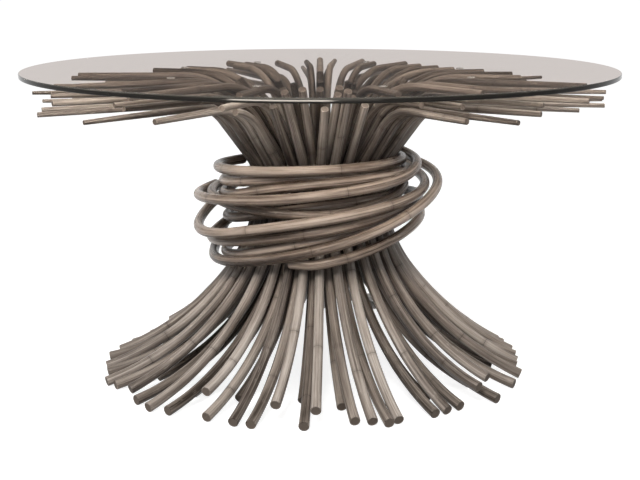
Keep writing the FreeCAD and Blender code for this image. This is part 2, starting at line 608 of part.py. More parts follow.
def make_table(document, size):
    """All nodes of the table, in the order of their files."""
    nodes = []
    glass, pad = round_plate(document, "glass_top", ["Sizes.glass_diameter / 2"],
                             "Sizes.base_height", "Sizes.glass_thickness")
    dress_rims(document, glass, pad, "PartDesign::Fillet", "glass_rims", "Radius", "Sizes.glass_edge_round")
    nodes.append(glass)

    hoop_bottom = "Sizes.waist_height - %s * Sizes.hoop_height" % HOOP_BELOW_SHARE
    for inwards, name in enumerate(("outer_hoop", "inner_hoop")):
        radii = [inside_ring(inwards), inside_ring(inwards) + " - Sizes.hoop_thickness"]
        hoop, _pad = round_plate(document, name, radii, hoop_bottom, "Sizes.hoop_height")
        nodes.append(hoop)
    core, pad = round_plate(document, "core_disc", [inside_ring(2)],
                            "Sizes.waist_height - Sizes.core_thickness / 2", "Sizes.core_thickness")
    dress_rims(document, core, pad, "PartDesign::Chamfer", "core_rims", "Size", "Sizes.core_chamfer")
    nodes.append(core)

    poles = bent_poles(size)
    solids = {}
    for name, ring in poles.items():
        solids[name] = [solid for solid, _crown in ring]
    for number, solid in enumerate(solids["outer"], start=1):
        nodes.append(add_shape(document, "outer_pole_%02d" % number, [solid]))
    middle = solids["middle"]
    for number, first in enumerate(range(0, len(middle), MIDDLE_POLES_PER_NODE), start=1):
        pair = middle[first:first + MIDDLE_POLES_PER_NODE]
        nodes.append(add_shape(document, "middle_pole_pair_%02d" % number, pair))
    inner = solids["inner"]
    for group in range(INNER_POLE_GROUPS):
        first = group * len(inner) // INNER_POLE_GROUPS
        last = (group + 1) * len(inner) // INNER_POLE_GROUPS
        nodes.append(add_shape(document, "inner_pole_group_%d" % (group + 1), inner[first:last]))
    nodes.append(add_shape(document, "core_poles", core_poles(size)))
    nodes.append(make_bumpers(document, size, [crown for _solid, crown in poles["inner"]]))

    canes = (
        ("inner_wrap_cane", INNER_CANE_SHARES),
        ("middle_wrap_cane", MIDDLE_CANE_SHARES),
        ("outer_wrap_cane", OUTER_CANE_SHARES),
    )
    for name, shares in canes:
        nodes.append(add_shape(document, name, [bound_cane(size, name, shares)]))
    return nodes


def check_and_export(document, nodes):
    document.recompute()
    for item in document.Objects:
        if "Invalid" in item.State or "Error" in item.State:
            raise ValueError(item.Label + " is " + ", ".join(item.State))
    for node in nodes:
        if node.Shape.isNull() or not node.Shape.isValid():
            raise ValueError(node.Label + " has no valid shape")
    os.makedirs("parts", exist_ok=True)
    for node in nodes:
        node.Shape.exportStep("parts/%s.step" % node.Label)
    print("%d nodes, %d solids" % (len(nodes), sum(len(node.Shape.Solids) for node in nodes)))


table_document = FreeCAD.newDocument("dining_table")
size_sheet = make_sheet(table_document)
check_and_export(table_document, make_table(table_document, read_sizes(size_sheet)))
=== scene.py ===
import math
import random
import bmesh
import bpy
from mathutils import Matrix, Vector, noise


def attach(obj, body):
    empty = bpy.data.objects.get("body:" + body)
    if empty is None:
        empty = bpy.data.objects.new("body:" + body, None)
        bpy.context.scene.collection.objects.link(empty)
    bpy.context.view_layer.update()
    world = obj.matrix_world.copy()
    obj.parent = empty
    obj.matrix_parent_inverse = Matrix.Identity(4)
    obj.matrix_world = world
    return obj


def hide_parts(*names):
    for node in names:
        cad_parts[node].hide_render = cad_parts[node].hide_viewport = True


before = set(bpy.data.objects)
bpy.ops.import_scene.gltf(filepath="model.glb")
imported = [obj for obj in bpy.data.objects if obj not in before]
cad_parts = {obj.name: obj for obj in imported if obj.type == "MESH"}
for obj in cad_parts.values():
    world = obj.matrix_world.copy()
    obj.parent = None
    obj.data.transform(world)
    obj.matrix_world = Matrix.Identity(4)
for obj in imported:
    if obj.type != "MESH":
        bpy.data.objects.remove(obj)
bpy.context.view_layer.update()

# Sizes in metres and angles in radians, as in the frame's solids.
UP = Vector((0, 0, 1))
FULL_TURN = 2 * math.pi
QUARTER_TURN = math.pi / 2
GLASS_RADIUS = 0.762
GLASS_THICKNESS = 0.012
GLASS_EDGE_ROUND = 0.0025
BASE_HEIGHT = 0.762
BUMPER_THICKNESS = 0.003
POLE_RADIUS = 0.0127
CANE_RADIUS = 0.0135
WAIST_RADIUS = 0.162
WAIST_HEIGHT = 0.470
FIT_GAP = 0.0003
RING_STEP = 0.029
LAYER_STEP = 0.0276
NECK_BEND_RADIUS = 0.130
CROWN_START_RADIUS = 0.3606
CROWN_START_STEP = 0.0015
CROWN_BEND_SHARES = {"outer": 0.588, "middle": 0.6353, "inner": 0.676}
CROWN_THICKNESS_SHARE = 0.8
FOOT_CIRCLE_RADIUS = 0.560
RING_COUNT = 32
INNER_COUNT = 24
INNER_GROUPS = 3
CORE_THICKNESS = 0.018
CORE_TOP = WAIST_HEIGHT + CORE_THICKNESS / 2 + FIT_GAP
CORE_CHAMFER = 0.002
CORE_BEND_RADIUS = 0.250
CORE_CIRCLES_APART = 1.5
BUMPER_RADIUS = 0.010
BUMPER_INSET = 0.045
FIRST_BUMPER_POLE = 1
BUMPER_POLE_STEP = 3
# Rods: sides, cuts along them, eased rims and sunk pith, the last as shares of the radius.
POLE_SIDES = 18
POLE_CUTS = (9, 15)
CANE_SIDES = 24
CANE_CUTS = (25, 31)
RIM_EASE = 0.0012
PITH_DEPTH = 0.0006
PITH_BORDER_SHARE = 0.12
PITH_WALL_SHARE = 0.05
PITH_MIDDLE_SHARE = 0.4
CUT_FACE_SHARE = 0.9
ROD_END_SHARE = 0.004
# The stem's own rings: their spacing, the groove and the swelling at each, and the free room at the ends.
POLE_RING_SPACING = 0.27
CANE_RING_SPACING = 0.33
FIRST_RING_SHARES = (0.35, 0.9)
NEXT_RING_SHARES = (0.75, 1.3)
LAST_RING_SHARE = 0.25
RING_REACH = 0.004
RING_GROOVE = 0.3 * RING_REACH
RING_SWELL = 0.994
SWELL_REACH = 0.014
SWELL = 0.022
FAR_FROM_RING = 0.03
# How slender and wavy the stems are, and how each is stained.
SLENDER_RANGE = (0.94, 0.965)
WAVER = 0.014
WAVER_ALONG = 8
WAVER_ACROSS = 35
DRIFT_RANGE = (-50, 50)
FOOT_REACH = 0.05
POLE_TINTS = (0.0, 1.0)
CANE_TINTS = (0.3, 0.7)
SMOOTH_ANGLE = math.radians(38)
# First seeds of the poles, the core poles and the canes.
POLE_SEEDS = {"outer": 0, "middle": 100, "inner": 200}
CORE_SEED = 400
CANE_SEED = 700
# The glass plate's and the bumpers' rims.
GLASS_SIDES = 256
GLASS_RIM_SEGMENTS = 4
BUMPER_SIDES = 28
BUMPER_EDGE_ROUND = 0.0009
BUMPER_RIM_SEGMENTS = 3
LEGS = {
    "outer": (0.380, math.radians(36)),
    "middle": (0.402, math.radians(38)),
    "inner": (0.460, math.radians(32)),
}

# Feet of the outer and middle poles, which alternate round the table, from the right side anticlockwise:
# turn away from the pole's own place, as a share of the step between neighbours.
FOOT_TURN_SHARES = (
    0.0, 0.15, -0.15, 0.2, -0.1, -0.15, 0.2, 0.0, 0.15, -0.2, 0.3, 0.2, -0.15, 0.05, 0.2, -0.1,
    0.35, -0.15, 0.05, 0.2, -0.2, 0.1, -0.3, 0.2, -0.15, 0.15, -0.1, 0.2, -0.1, 0.1, 0.0, -0.1,
    0.0, 0.09, 0.5, 0.3, 0.6, 0.2, 0.05, 0.43, 0.44, 0.34, 0.67, 0.12, 0.39, 0.16, 0.0, 0.34,
    -0.18, 0.53, 0.28, -0.1, -0.6, 0.18, -0.13, -0.34, -0.18, -0.45, -0.84, -0.3, 0.2, 0.3, 0.15, 0.09)
# Their distance from the centre, as a share of the foot circle's radius.
FOOT_RADIUS_SHARES = (
    0.92, 0.9, 0.89, 0.86, 0.8, 0.86, 0.88, 0.88, 0.9, 0.9, 0.89, 0.95, 0.94, 0.98, 0.96, 1.0,
    0.93, 0.99, 0.95, 0.97, 0.94, 0.95, 0.86, 0.91, 0.88, 0.89, 0.86, 0.87, 0.82, 0.88, 0.88, 0.92,
    0.96, 1.0, 1.016, 1.02, 1.055, 1.035, 1.0, 1.05, 1.065, 1.04, 0.946, 1.01, 1.016, 1.016, 0.932, 1.0,
    0.946, 0.95, 0.966, 1.0, 0.98, 0.98, 0.975, 0.97, 0.973, 1.02, 0.929, 0.99, 0.975, 0.94, 0.935, 0.93)
# Poles cut off above the floor: height of the cut end as a share of the pole's diameter, by place.
FOOT_LIFT_SHARES = {
    4: 1.2, 10: 1.0, 16: 1.35, 22: 1.1, 28: 1.2, 42: 1.8, 46: 1.3, 48: 1.02, 56: 1.3, 58: 1.3}
# Feet of the inner poles, the same way.
INNER_FOOT_TURN_SHARES = (
    0.2, 0.4, 0.0, -0.4, 0.1, 0.45, 0.1, -0.35, 0.1, 0.1, 0.3, -0.1,
    0.3, 0.4, -0.1, -0.3, -0.3, 0.1, -0.05, -0.3, -0.25, 0.1, 0.3, -0.2)
INNER_FOOT_RADIUS_SHARES = (
    0.79, 0.72, 0.76, 0.8, 0.84, 0.78, 0.8, 0.77, 0.77, 0.76, 0.77, 0.78,
    0.8, 0.83, 0.84, 0.82, 0.76, 0.7, 0.78, 0.83, 0.82, 0.82, 0.83, 0.8)

# Ends of the poles under the glass: turn away from the pole's own place as a share of its ring's step,
# distance from the centre as a share of the glass's radius, and droop of the level run in degrees.
OUTER_TIP_TURN_SHARES = (
    0.1, -0.2, 0.3, -0.1, 0.2, -0.3, 0.1, 0.25, -0.2, 0.3, -0.1, 0.1, -0.3, 0.2, -0.15, 0.3,
    0.0, 0.2, -0.25, 0.1, 0.3, -0.2, 0.1, -0.3, 0.2, 0.0, -0.2, 0.3, -0.1, 0.2, 0.1, 0.0)
OUTER_TIP_RADIUS_SHARES = (
    0.97, 0.88, 0.95, 0.8, 0.92, 0.72, 0.9, 0.84, 0.9, 0.94, 0.82, 0.95, 0.75, 0.9, 0.96, 0.88,
    0.95, 0.93, 0.95, 0.87, 0.74, 0.45, 0.45, 0.47, 0.42, 0.46, 0.44, 0.72, 0.84, 0.8, 0.88, 0.95)
OUTER_TIP_DROOP_DEGREES = (
    0.4, 1.0, 0.5, 2.5, 1.5, 1.0, 0.5, 2.0, 1.0, 2.5, 1.0, 0.5, 2.0, 1.5, 2.0, 1.0,
    0.8, 1.5, 2.0, 2.8, 2.2, 1.5, 0.5, 1.0, 0.3, 1.0, 0.5, 1.5, 1.0, 0.5, 0.3, 0.2)
MIDDLE_TIP_TURN_SHARES = (
    -0.2, 0.3, 0.0, -0.3, 0.2, 0.1, -0.2, 0.3, -0.1, 0.2, -0.3, 0.1, 0.25, -0.2, 0.1, -0.1,
    0.3, -0.2, 0.2, 0.0, -0.3, 0.2, 0.1, -0.25, 0.3, -0.1, 0.2, -0.2, 0.1, 0.3, -0.2, 0.0)
MIDDLE_TIP_RADIUS_SHARES = (
    0.92, 0.8, 0.95, 0.86, 0.74, 0.93, 0.88, 0.78, 0.92, 0.84, 0.9, 0.76, 0.88, 0.95, 0.8, 0.94,
    0.96, 0.9, 0.94, 0.8, 0.84, 0.66, 0.58, 0.54, 0.5, 0.56, 0.6, 0.7, 0.85, 0.92, 0.95, 0.96)
MIDDLE_TIP_DROOP_DEGREES = (0.0, 0.3)
INNER_TIP_TURN_SHARES = (
    0.1, -0.2, 0.25, -0.1, 0.2, 0.2, -0.2, 0.3, -0.2, 0.15, -0.1, 0.2,
    -0.3, 0.1, 0.2, -0.15, 0.1, -0.2, 0.25, -0.1, 0.2, -0.25, 0.1, 0.3)
INNER_TIP_RADIUS_SHARES = (
    0.68, 0.62, 0.58, 0.6, 0.63, 0.76, 0.68, 0.63, 0.57, 0.6, 0.66, 0.84,
    0.84, 0.9, 0.78, 0.86, 0.66, 0.7, 0.6, 0.64, 0.74, 0.8, 0.9, 0.68)
INNER_TIP_DROOP_DEGREES = (0.0,)
# Thickness at the end of a pole that reaches the glass's rim, as a share of the pole's diameter; a shorter
# one thins less.
TIP_THICKNESS_SHARES = (0.38, 0.46, 0.34, 0.42, 0.5, 0.36, 0.44)
# Poles at the front that end in their straight necks: height of the end as a share of the glass's height
# above the waist.
SHORT_POLES = {
    "outer": {22: 0.8, 23: 0.93, 24: 0.785, 25: 0.94, 26: 0.81},
    "middle": {22: 0.86, 23: 0.945, 24: 0.9, 25: 0.87},
    "inner": {17: 0.93, 18: 0.945},
}

# Poles that stand on the core disc in two circles and fill the crown's middle. Stubs: lean in degrees, and
# height of the end as a share of the glass's height above the waist.
OUTER_CORE_STUBS = {
    0: (40, 0.94), 6: (36, 0.94), 7: (47, 0.935), 8: (30, 0.9), 9: (42, 0.92), 10: (26, 0.88),
    11: (44, 0.94)}
INNER_CORE_STUBS = {
    0: (12, 0.9), 2: (34, 0.945), 4: (18, 0.92), 5: (14, 0.92), 6: (9, 0.94), 7: (16, 0.93)}
# Those at the back that bend on until they run level: turn of the end in degrees, and its distance from the
# centre as a share of the glass's radius.
OUTER_CORE_RUNS = {1: (30, 0.56), 2: (60, 0.66), 3: (90, 0.78), 4: (120.6, 0.7), 5: (150, 0.58)}
INNER_CORE_RUNS = {1: (76.5, 0.72), 3: (105, 0.64)}

# Binding canes. Each place is the number of quarter turns from the left side by way of the front, and,
# as shares of the cane's diameter, how far the cane stands off the waist and how high above it.
INNER_CANE_SHARES = (
    (0.79, 1.53, -6.14), (1, 1.87, -6.04), (2, 2.8, -2.7), (3, 0.94, -4.37), (4, 2.28, -6.59),
    (5, 0.98, -4.0), (6, 0.24, -1.89), (7, 0.35, -2.11), (8, 2.09, -3.11), (9, 0.2, -1.0),
    (10, 0.17, -0.67), (11, 0.17, -0.74), (12, 1.91, -1.93), (13, 0.2, 0.04), (14, 0.2, 0.44),
    (15, 0.2, 0.67), (15.55, 0.72, 0.63), (16, 2.39, 0.4), (17, 0.72, 1.86), (18, 0.54, 1.46),
    (18.15, 0.57, 1.46))
MIDDLE_CANE_SHARES = (
    (-0.35, 2.13, 1.63), (0, 2.94, 1.74), (1, 1.5, 2.59), (2, 0.99, 2.54), (3, 1.16, 1.52),
    (3.5, 1.9, 0.37), (4, 2.43, -0.86), (5, 1.65, 1.37), (6, 1.61, 1.41), (7, 1.31, -0.3),
    (8, 3.57, -0.74), (9, 1.08, -1.63), (9.5, 1.15, -0.85), (10, 1.2, 0.0), (11, 1.45, -1.8),
    (11.6, 2.5, -3.78), (12, 3.69, -5.19), (13, 1.57, -3.13), (14, 2.6, -1.15), (15, 1.39, -3.33),
    (15.3, 1.83, -3.93))
OUTER_CANE_SHARES = (
    (-0.25, 4.43, -0.89), (0, 4.91, -1.07), (1, 2.2, 0.41), (1.5, 2.76, 1.37), (2, 2.35, 2.3),
    (3, 1.76, 2.59), (4, 4.91, -3.85), (5, 2.09, -1.96), (6, 3.24, 0.15), (7, 2.72, 1.56),
    (7.6, 3.76, -3.93), (8, 3.5, -6.93), (9, 2.24, -4.63), (10, 4.5, 0.37), (11, 3.76, 1.93),
    (11.4, 3.83, 2.0))


def srgb(red, green, blue):
    """Colour as it looks on a screen, from 0 to 255, as the shader's linear values."""
    linear = []
    for value in (red, green, blue):
        share = value / 255
        linear.append(share / 12.92 if share <= 0.04045 else ((share + 0.055) / 1.055) ** 2.4)
    return (*linear, 1.0)


# The middle and inner skins are darker copies of the outer one: painted shade, deeper towards the bundle's
# middle.
OUTER_SKIN = {"Pale": srgb(172, 163, 155), "Body": srgb(124, 114, 106), "Dark": srgb(54, 46, 41)}
MIDDLE_SHADED_SKIN = {"Pale": srgb(160, 150, 141), "Body": srgb(114, 104, 96), "Dark": srgb(50, 43, 37)}
INNER_SHADED_SKIN = {"Pale": srgb(140, 130, 121), "Body": srgb(98, 88, 80), "Dark": srgb(44, 37, 32)}
WRAP_SKIN = {"Pale": srgb(166, 152, 141), "Body": srgb(120, 106, 95), "Dark": srgb(52, 41, 34)}
PITH = srgb(104, 94, 86)
# Painted shade deep in the bundle, by distance from its axis, and painted shadow under the binding, by
# height.
INSIDE_PAINTED_SHADE = srgb(30, 25, 22)
INSIDE_SHADE_RADII = (0.12, 0.27)
BINDING_SHADOW_FADE_IN = (0.20, 0.30)
BINDING_SHADOW_FADE_OUT = (0.57, 0.66)
GLASS_FACE_TINT = srgb(245, 244, 240)
GLASS_EDGE_TINT = srgb(227, 223, 221)
GLASS_SHADOW_TINT = srgb(210, 204, 198)
GLASS_CLEAR_SHARE = 0.965
BUMPER_TINT = srgb(228, 230, 226)
BUMPER_SHADOW_TINT = srgb(225, 225, 222)
WHITE = (1.0, 1.0, 1.0, 1.0)
FLOOR_LIFT = 0.85
FLOOR_LIFT_RADII = (1.5, 4.0)
FLOOR_GREY = (0.42, 0.42, 0.42, 1.0)
FLOOR_BOUNCE = (0.22, 0.21, 0.2, 1.0)
ROOM_LIGHT = (0.06, 0.06, 0.061, 1.0)
# Lamps: name, place, what each aims at, width, height, power in watts, and colour.
LAMPS = (
    ("key", (-0.75, -3.0, 3.5), (0, 0, 0.4), 1.2, 1.2, 165, (1.0, 0.985, 0.965)),
    ("front", (0.5, -3.9, 0.75), (0, 0, 0.55), 1.6, 0.8, 24, (1.0, 0.99, 0.98)),
    ("left", (-3.2, -0.9, 1.9), (0, 0, 0.4), 1.4, 1.4, 34, (1.0, 1.0, 1.0)),
    ("right", (3.2, -0.9, 1.9), (0, 0, 0.4), 1.4, 1.4, 24, (0.98, 0.99, 1.0)),
    ("overhead", (0.2, 0.5, 3.6), (0, 0, 0.5), 1.8, 1.8, 20, (1.0, 1.0, 1.0)),
)
# The lamp that draws the white line on the glass's rim, and lights nothing else.
STRIP = ("low strip", (-0.92, -3.8, 0.45), (-0.92, 0, 0.6), 2.34, 0.45, 380, (1.0, 0.99, 0.96))
CAMERA_PLACE = (0, -3.12, 1.02)
CAMERA_TILT = -0.169
CAMERA_LENS = 67.5
CAMERA_SENSOR = 36
CAMERA_SHIFT = -0.1
CAMERA_REACH = 300
FLOOR_SIZE = 160


# ---- paths: the same centre lines as the frame's solids, as knots with directions and curve handles ----

class Path:
    """Smooth chain of arcs and straights: places, directions there and a handle length for each span."""

    def __init__(self, place, direction):
        self.knots = [(place, direction)]
        self.handles = []
        self.length = 0.0
        self.thickness = [(0.0, 1.0)]

    def add(self, place, direction, handle, length, thickness=1.0):
        self.knots.append((place, direction))
        self.handles.append(handle)
        self.length += length
        self.thickness.append((self.length, thickness))

    def turned_round(self):
        """The same way from its other end; only for a path of one thickness."""
        flipped = Path(self.knots[-1][0], -self.knots[-1][1])
        flipped.knots = [(place, -direction) for place, direction in reversed(self.knots)]
        flipped.handles = list(reversed(self.handles))
        flipped.length = self.length
        flipped.thickness.append((self.length, 1.0))
        return flipped

    def followed_by(self, other):
        self.knots += other.knots[1:]
        self.handles += other.handles
        self.thickness += [(self.length + along, share) for along, share in other.thickness]
        self.length += other.length
        return self

    def share_at(self, along):
        """Thickness there, as a share of the stem's full thickness."""
        for (start, first), (end, last) in zip(self.thickness, self.thickness[1:]):
            if along <= end:
                return first + (last - first) * (along - start) / max(end - start, 1e-9)
        return self.thickness[-1][1]


class HalfPole:
    """Half of a pole: it leaves the waist upright and bends away, up or down, in one upright plane."""

    def __init__(self, waist, goal, sense, height=WAIST_HEIGHT):
        self.waist = waist
        self.reach = (goal - waist).length
        self.outwards = (goal - waist).normalized()
        self.along = 0.0
        self.height = height
        self.sense = sense
        self.path = Path(self.place(), UP * sense)

    def place(self):
        return self.waist + self.outwards * self.along + UP * self.height

    def heading(self, lean):
        return self.outwards * math.sin(lean) + UP * (self.sense * math.cos(lean))

    def bend(self, radius, lean_before, lean_after, thickness=1.0):
        self.along += radius * (math.cos(lean_before) - math.cos(lean_after))
        self.height += self.sense * radius * (math.sin(lean_after) - math.sin(lean_before))
        turn = lean_after - lean_before
        self.path.add(self.place(), self.heading(lean_after), 4 / 3 * math.tan(turn / 4) * radius,
                      radius * turn, thickness)

    def straight(self, length, lean, thickness):
        self.along += length * math.sin(lean)
        self.height += self.sense * length * math.cos(lean)
        self.path.add(self.place(), self.heading(lean), length / 3, length, thickness)


def polar(radius, turn):
    return Vector((radius * math.cos(turn), radius * math.sin(turn), 0))


def leg_path(ring, waist, foot, lift):
    bend_radius, first_lean = LEGS[ring]
    half = HalfPole(waist, foot, -1)
    half.bend(bend_radius, 0.0, first_lean)
    across = half.reach - half.along
    lean = QUARTER_TURN
    for _pass in range(6):
        down = half.height - lift - POLE_RADIUS * math.sin(lean)
        lean = 2 * math.atan2(across, down) - first_lean
    radius = math.hypot(across, down) / (2 * math.sin((lean - first_lean) / 2))
    half.bend(radius, first_lean, lean)
    return half.path


def ring_sizes():
    """For each ring: radius at the waist, height of the level run, neck's bend and lean, crown's bend."""
    under_bumpers = BASE_HEIGHT - BUMPER_THICKNESS
    levels = (under_bumpers - POLE_RADIUS - 2 * LAYER_STEP, under_bumpers - POLE_RADIUS - LAYER_STEP,
              under_bumpers - POLE_RADIUS * CROWN_THICKNESS_SHARE)
    rings = {}
    for inwards, (ring, level) in enumerate(zip(("outer", "middle", "inner"), levels)):
        waist_radius = WAIST_RADIUS - inwards * RING_STEP
        neck_radius = NECK_BEND_RADIUS + inwards * RING_STEP
        rise = level - WAIST_HEIGHT
        crown_radius = CROWN_BEND_SHARES[ring] * rise
        across = CROWN_START_RADIUS - inwards * CROWN_START_STEP - waist_radius - neck_radius
        up = rise - crown_radius
        lean = math.atan2(across, up) + math.asin((neck_radius - crown_radius) / math.hypot(across, up))
        rings[ring] = (waist_radius, level, neck_radius, lean, crown_radius)
    return rings


def crown_path(ring, waist, tip, droop, tip_share):
    """Neck, crown's bend and level run, and the distance from the waist at which that run starts."""
    _waist_radius, level, neck_radius, neck_lean, radius = ring
    level_lean = QUARTER_TURN + droop
    half = HalfPole(waist, tip, 1)
    half.bend(neck_radius, 0.0, neck_lean)
    rise = radius * (math.sin(level_lean) - math.sin(neck_lean))
    half.straight((level - rise - half.height) / math.cos(neck_lean), neck_lean, CROWN_THICKNESS_SHARE)
    across = half.reach - half.along
    bend_reach = radius * (math.cos(neck_lean) - math.cos(level_lean))
    if across <= bend_reach:
        half.bend(radius, neck_lean, math.acos(math.cos(neck_lean) - across / radius), CROWN_THICKNESS_SHARE)
        return half, half.along
    half.bend(radius, neck_lean, level_lean, CROWN_THICKNESS_SHARE)
    level_start = half.along
    run = (across - bend_reach) / math.sin(level_lean)
    thinning = (CROWN_THICKNESS_SHARE - tip_share) * run / (GLASS_RADIUS - CROWN_START_RADIUS)
    half.straight(run, level_lean, CROWN_THICKNESS_SHARE - thinning)
    return half, level_start


def cut_at_neck(half, bend_radius, lean, end_share):
    """Bends the half pole outwards once, up to a cut end under the glass."""
    half.bend(bend_radius, 0.0, lean)
    end_height = WAIST_HEIGHT + end_share * (BASE_HEIGHT - WAIST_HEIGHT)
    half.straight((end_height - half.height) / math.cos(lean), lean, CROWN_THICKNESS_SHARE)
    return half


def pole_paths():
    """Paths of the poles of each ring from foot to tip, and the places where bumpers stand."""
    tips = {
        "outer": (OUTER_TIP_TURN_SHARES, OUTER_TIP_RADIUS_SHARES, OUTER_TIP_DROOP_DEGREES),
        "middle": (MIDDLE_TIP_TURN_SHARES, MIDDLE_TIP_RADIUS_SHARES, MIDDLE_TIP_DROOP_DEGREES),
        "inner": (INNER_TIP_TURN_SHARES, INNER_TIP_RADIUS_SHARES, INNER_TIP_DROOP_DEGREES),
    }
    places = []
    place_step = FULL_TURN / (2 * RING_COUNT)
    for place in range(2 * RING_COUNT):
        turn = place * place_step
        foot_turn = turn + FOOT_TURN_SHARES[place] * place_step
        lift = 2 * POLE_RADIUS * FOOT_LIFT_SHARES.get(place, 0.0)
        ring = "middle" if place % 2 else "outer"
        places.append((ring, place // 2, turn, foot_turn, FOOT_RADIUS_SHARES[place], lift))
    inner_step = FULL_TURN / INNER_COUNT
    for number in range(INNER_COUNT):
        turn = (number + 0.5) * inner_step
        foot_turn = turn + INNER_FOOT_TURN_SHARES[number] * inner_step
        places.append(("inner", number, turn, foot_turn, INNER_FOOT_RADIUS_SHARES[number], 0.0))
    sizes = ring_sizes()
    paths = {"outer": [], "middle": [], "inner": []}
    level_starts = []
    for ring, number, turn, foot_turn, foot_share, lift in places:
        tip_turns, tip_radii, droops = tips[ring]
        step = inner_step if ring == "inner" else 2 * place_step
        waist = polar(sizes[ring][0], turn)
        foot = polar(FOOT_CIRCLE_RADIUS * foot_share, foot_turn)
        tip = polar(GLASS_RADIUS * tip_radii[number], turn + step * tip_turns[number])
        if number in SHORT_POLES[ring]:
            _waist_radius, _level, neck_radius, neck_lean, _radius = sizes[ring]
            half = cut_at_neck(HalfPole(waist, tip, 1), neck_radius, neck_lean, SHORT_POLES[ring][number])
            level_start = half.along
        else:
            droop = math.radians(droops[number % len(droops)])
            tip_share = TIP_THICKNESS_SHARES[number % len(TIP_THICKNESS_SHARES)]
            half, level_start = crown_path(sizes[ring], waist, tip, droop, tip_share)
        paths[ring].append(leg_path(ring, waist, foot, lift).turned_round().followed_by(half.path))
        if ring == "inner":
            level_starts.append(half.waist + half.outwards * (level_start + BUMPER_INSET))
    return paths, level_starts[FIRST_BUMPER_POLE::BUMPER_POLE_STEP]


def core_stub(circle, turn, lean, end_share):
    """Path of a pole that stands on the core disc and leans outwards."""
    half = HalfPole(polar(circle, turn), polar(2 * circle, turn), 1, CORE_TOP)
    return cut_at_neck(half, CORE_BEND_RADIUS, lean, end_share).path


def core_runner(circle, turn, end, level):
    """Path of a thinner pole that bends on from the core disc until it runs level to its end."""
    half = HalfPole(polar(circle, turn), end, 1, CORE_TOP)
    half.path.thickness = [(0.0, CROWN_THICKNESS_SHARE)]
    half.bend(level - CORE_TOP, 0.0, QUARTER_TURN, CROWN_THICKNESS_SHARE)
    half.straight(half.reach - half.along, QUARTER_TURN, CROWN_THICKNESS_SHARE)
    return half.path


def core_paths():
    """Both circles of poles on the core disc, which share the level of the inner ring's runs."""
    level = ring_sizes()["inner"][1]
    outer_circle = WAIST_RADIUS - 2 * RING_STEP - FIT_GAP - CORE_CHAMFER - 2 * POLE_RADIUS
    inner_circle = outer_circle - CORE_CIRCLES_APART * 2 * POLE_RADIUS
    paths = []
    for circle, stubs, runs in ((outer_circle, OUTER_CORE_STUBS, OUTER_CORE_RUNS),
                                (inner_circle, INNER_CORE_STUBS, INNER_CORE_RUNS)):
        count = len(stubs) + len(runs)
        for number in range(count):
            turn = number * FULL_TURN / count
            if number in runs:
                end_turn, radius_share = runs[number]
                end = polar(GLASS_RADIUS * radius_share, math.radians(end_turn))
                paths.append(core_runner(circle, turn, end, level))
            else:
                lean, end_share = stubs[number]
                paths.append(core_stub(circle, turn, math.radians(lean), end_share))
    return paths


def cane_path(shares):
    """A binding cane: places round the waist joined by pairs of smooth arcs."""
    diameter = 2 * CANE_RADIUS
    against_waist = WAIST_RADIUS + POLE_RADIUS + FIT_GAP + CANE_RADIUS
    places = []
    for quarters, off_share, above_share in shares:
        turn = math.pi + quarters * QUARTER_TURN
        places.append((turn, against_waist + off_share * diameter, WAIST_HEIGHT + above_share * diameter))
    stations = []
    for number, (turn, radius, height) in enumerate(places):
        before = places[max(0, number - 1)]
        after = places[min(len(places) - 1, number + 1)]
        travel = (after[0] - before[0]) * radius
        outwards = polar(1, turn)
        forwards = polar(1, turn + QUARTER_TURN)
        heading = forwards + outwards * ((after[1] - before[1]) / travel)
        heading += UP * ((after[2] - before[2]) / travel)
        stations.append((outwards * radius + UP * height, heading.normalized()))
    path = Path(*stations[0])
    for (start, start_heading), (end, end_heading) in zip(stations, stations[1:]):
        chord = end - start
        both = start_heading + end_heading
        bend = 2 * (1 - start_heading.dot(end_heading))
        ahead = chord.dot(both)
        side = (math.sqrt(ahead ** 2 + bend * chord.dot(chord)) - ahead) / bend
        first_corner = start + start_heading * side
        last_corner = end - end_heading * side
        joint = (first_corner + last_corner) / 2
        joint_heading = (last_corner - first_corner).normalized()
        for first, corner, last, heading in ((start, first_corner, joint, joint_heading),
                                             (joint, last_corner, end, end_heading)):
            half_turn = math.asin(((first + last) / 2 - corner).length / side)
            radius = side / math.tan(half_turn)
            path.add(last, heading, 4 / 3 * math.tan(half_turn / 2) * radius, 2 * radius * half_turn)
    return path


# ---- modelling ----

def only(piece):
    """Selects one object and nothing else."""
    bpy.ops.object.select_all(action="DESELECT")
    piece.select_set(True)
    bpy.context.view_layer.objects.active = piece


def pick(piece, kind, wanted):
    """Selects the wanted faces or edges of the piece that is being edited."""
    bpy.ops.mesh.select_mode(type=kind)
    mesh = bmesh.from_edit_mesh(piece.data)
    choices = mesh.faces if kind == "FACE" else mesh.edges
    for choice in choices:
        choice.select_set(False)
    for choice in choices:
        if wanted(choice):
            choice.select_set(True)
    bmesh.update_edit_mesh(piece.data)


def cylinder(name, sides, radius, length, centre, turn=(0, 0, 0)):
    """A new cylinder with its place and turn in its mesh, open for editing."""
    bpy.ops.object.select_all(action="DESELECT")
    bpy.ops.mesh.primitive_cylinder_add(vertices=sides, radius=radius, depth=length, end_fill_type="NGON",
                                        location=centre, rotation=turn)
    piece = bpy.context.object
    piece.name = name
    bpy.ops.object.transform_apply(location=True, rotation=True, scale=True)
    bpy.ops.object.mode_set(mode="EDIT")
    return piece


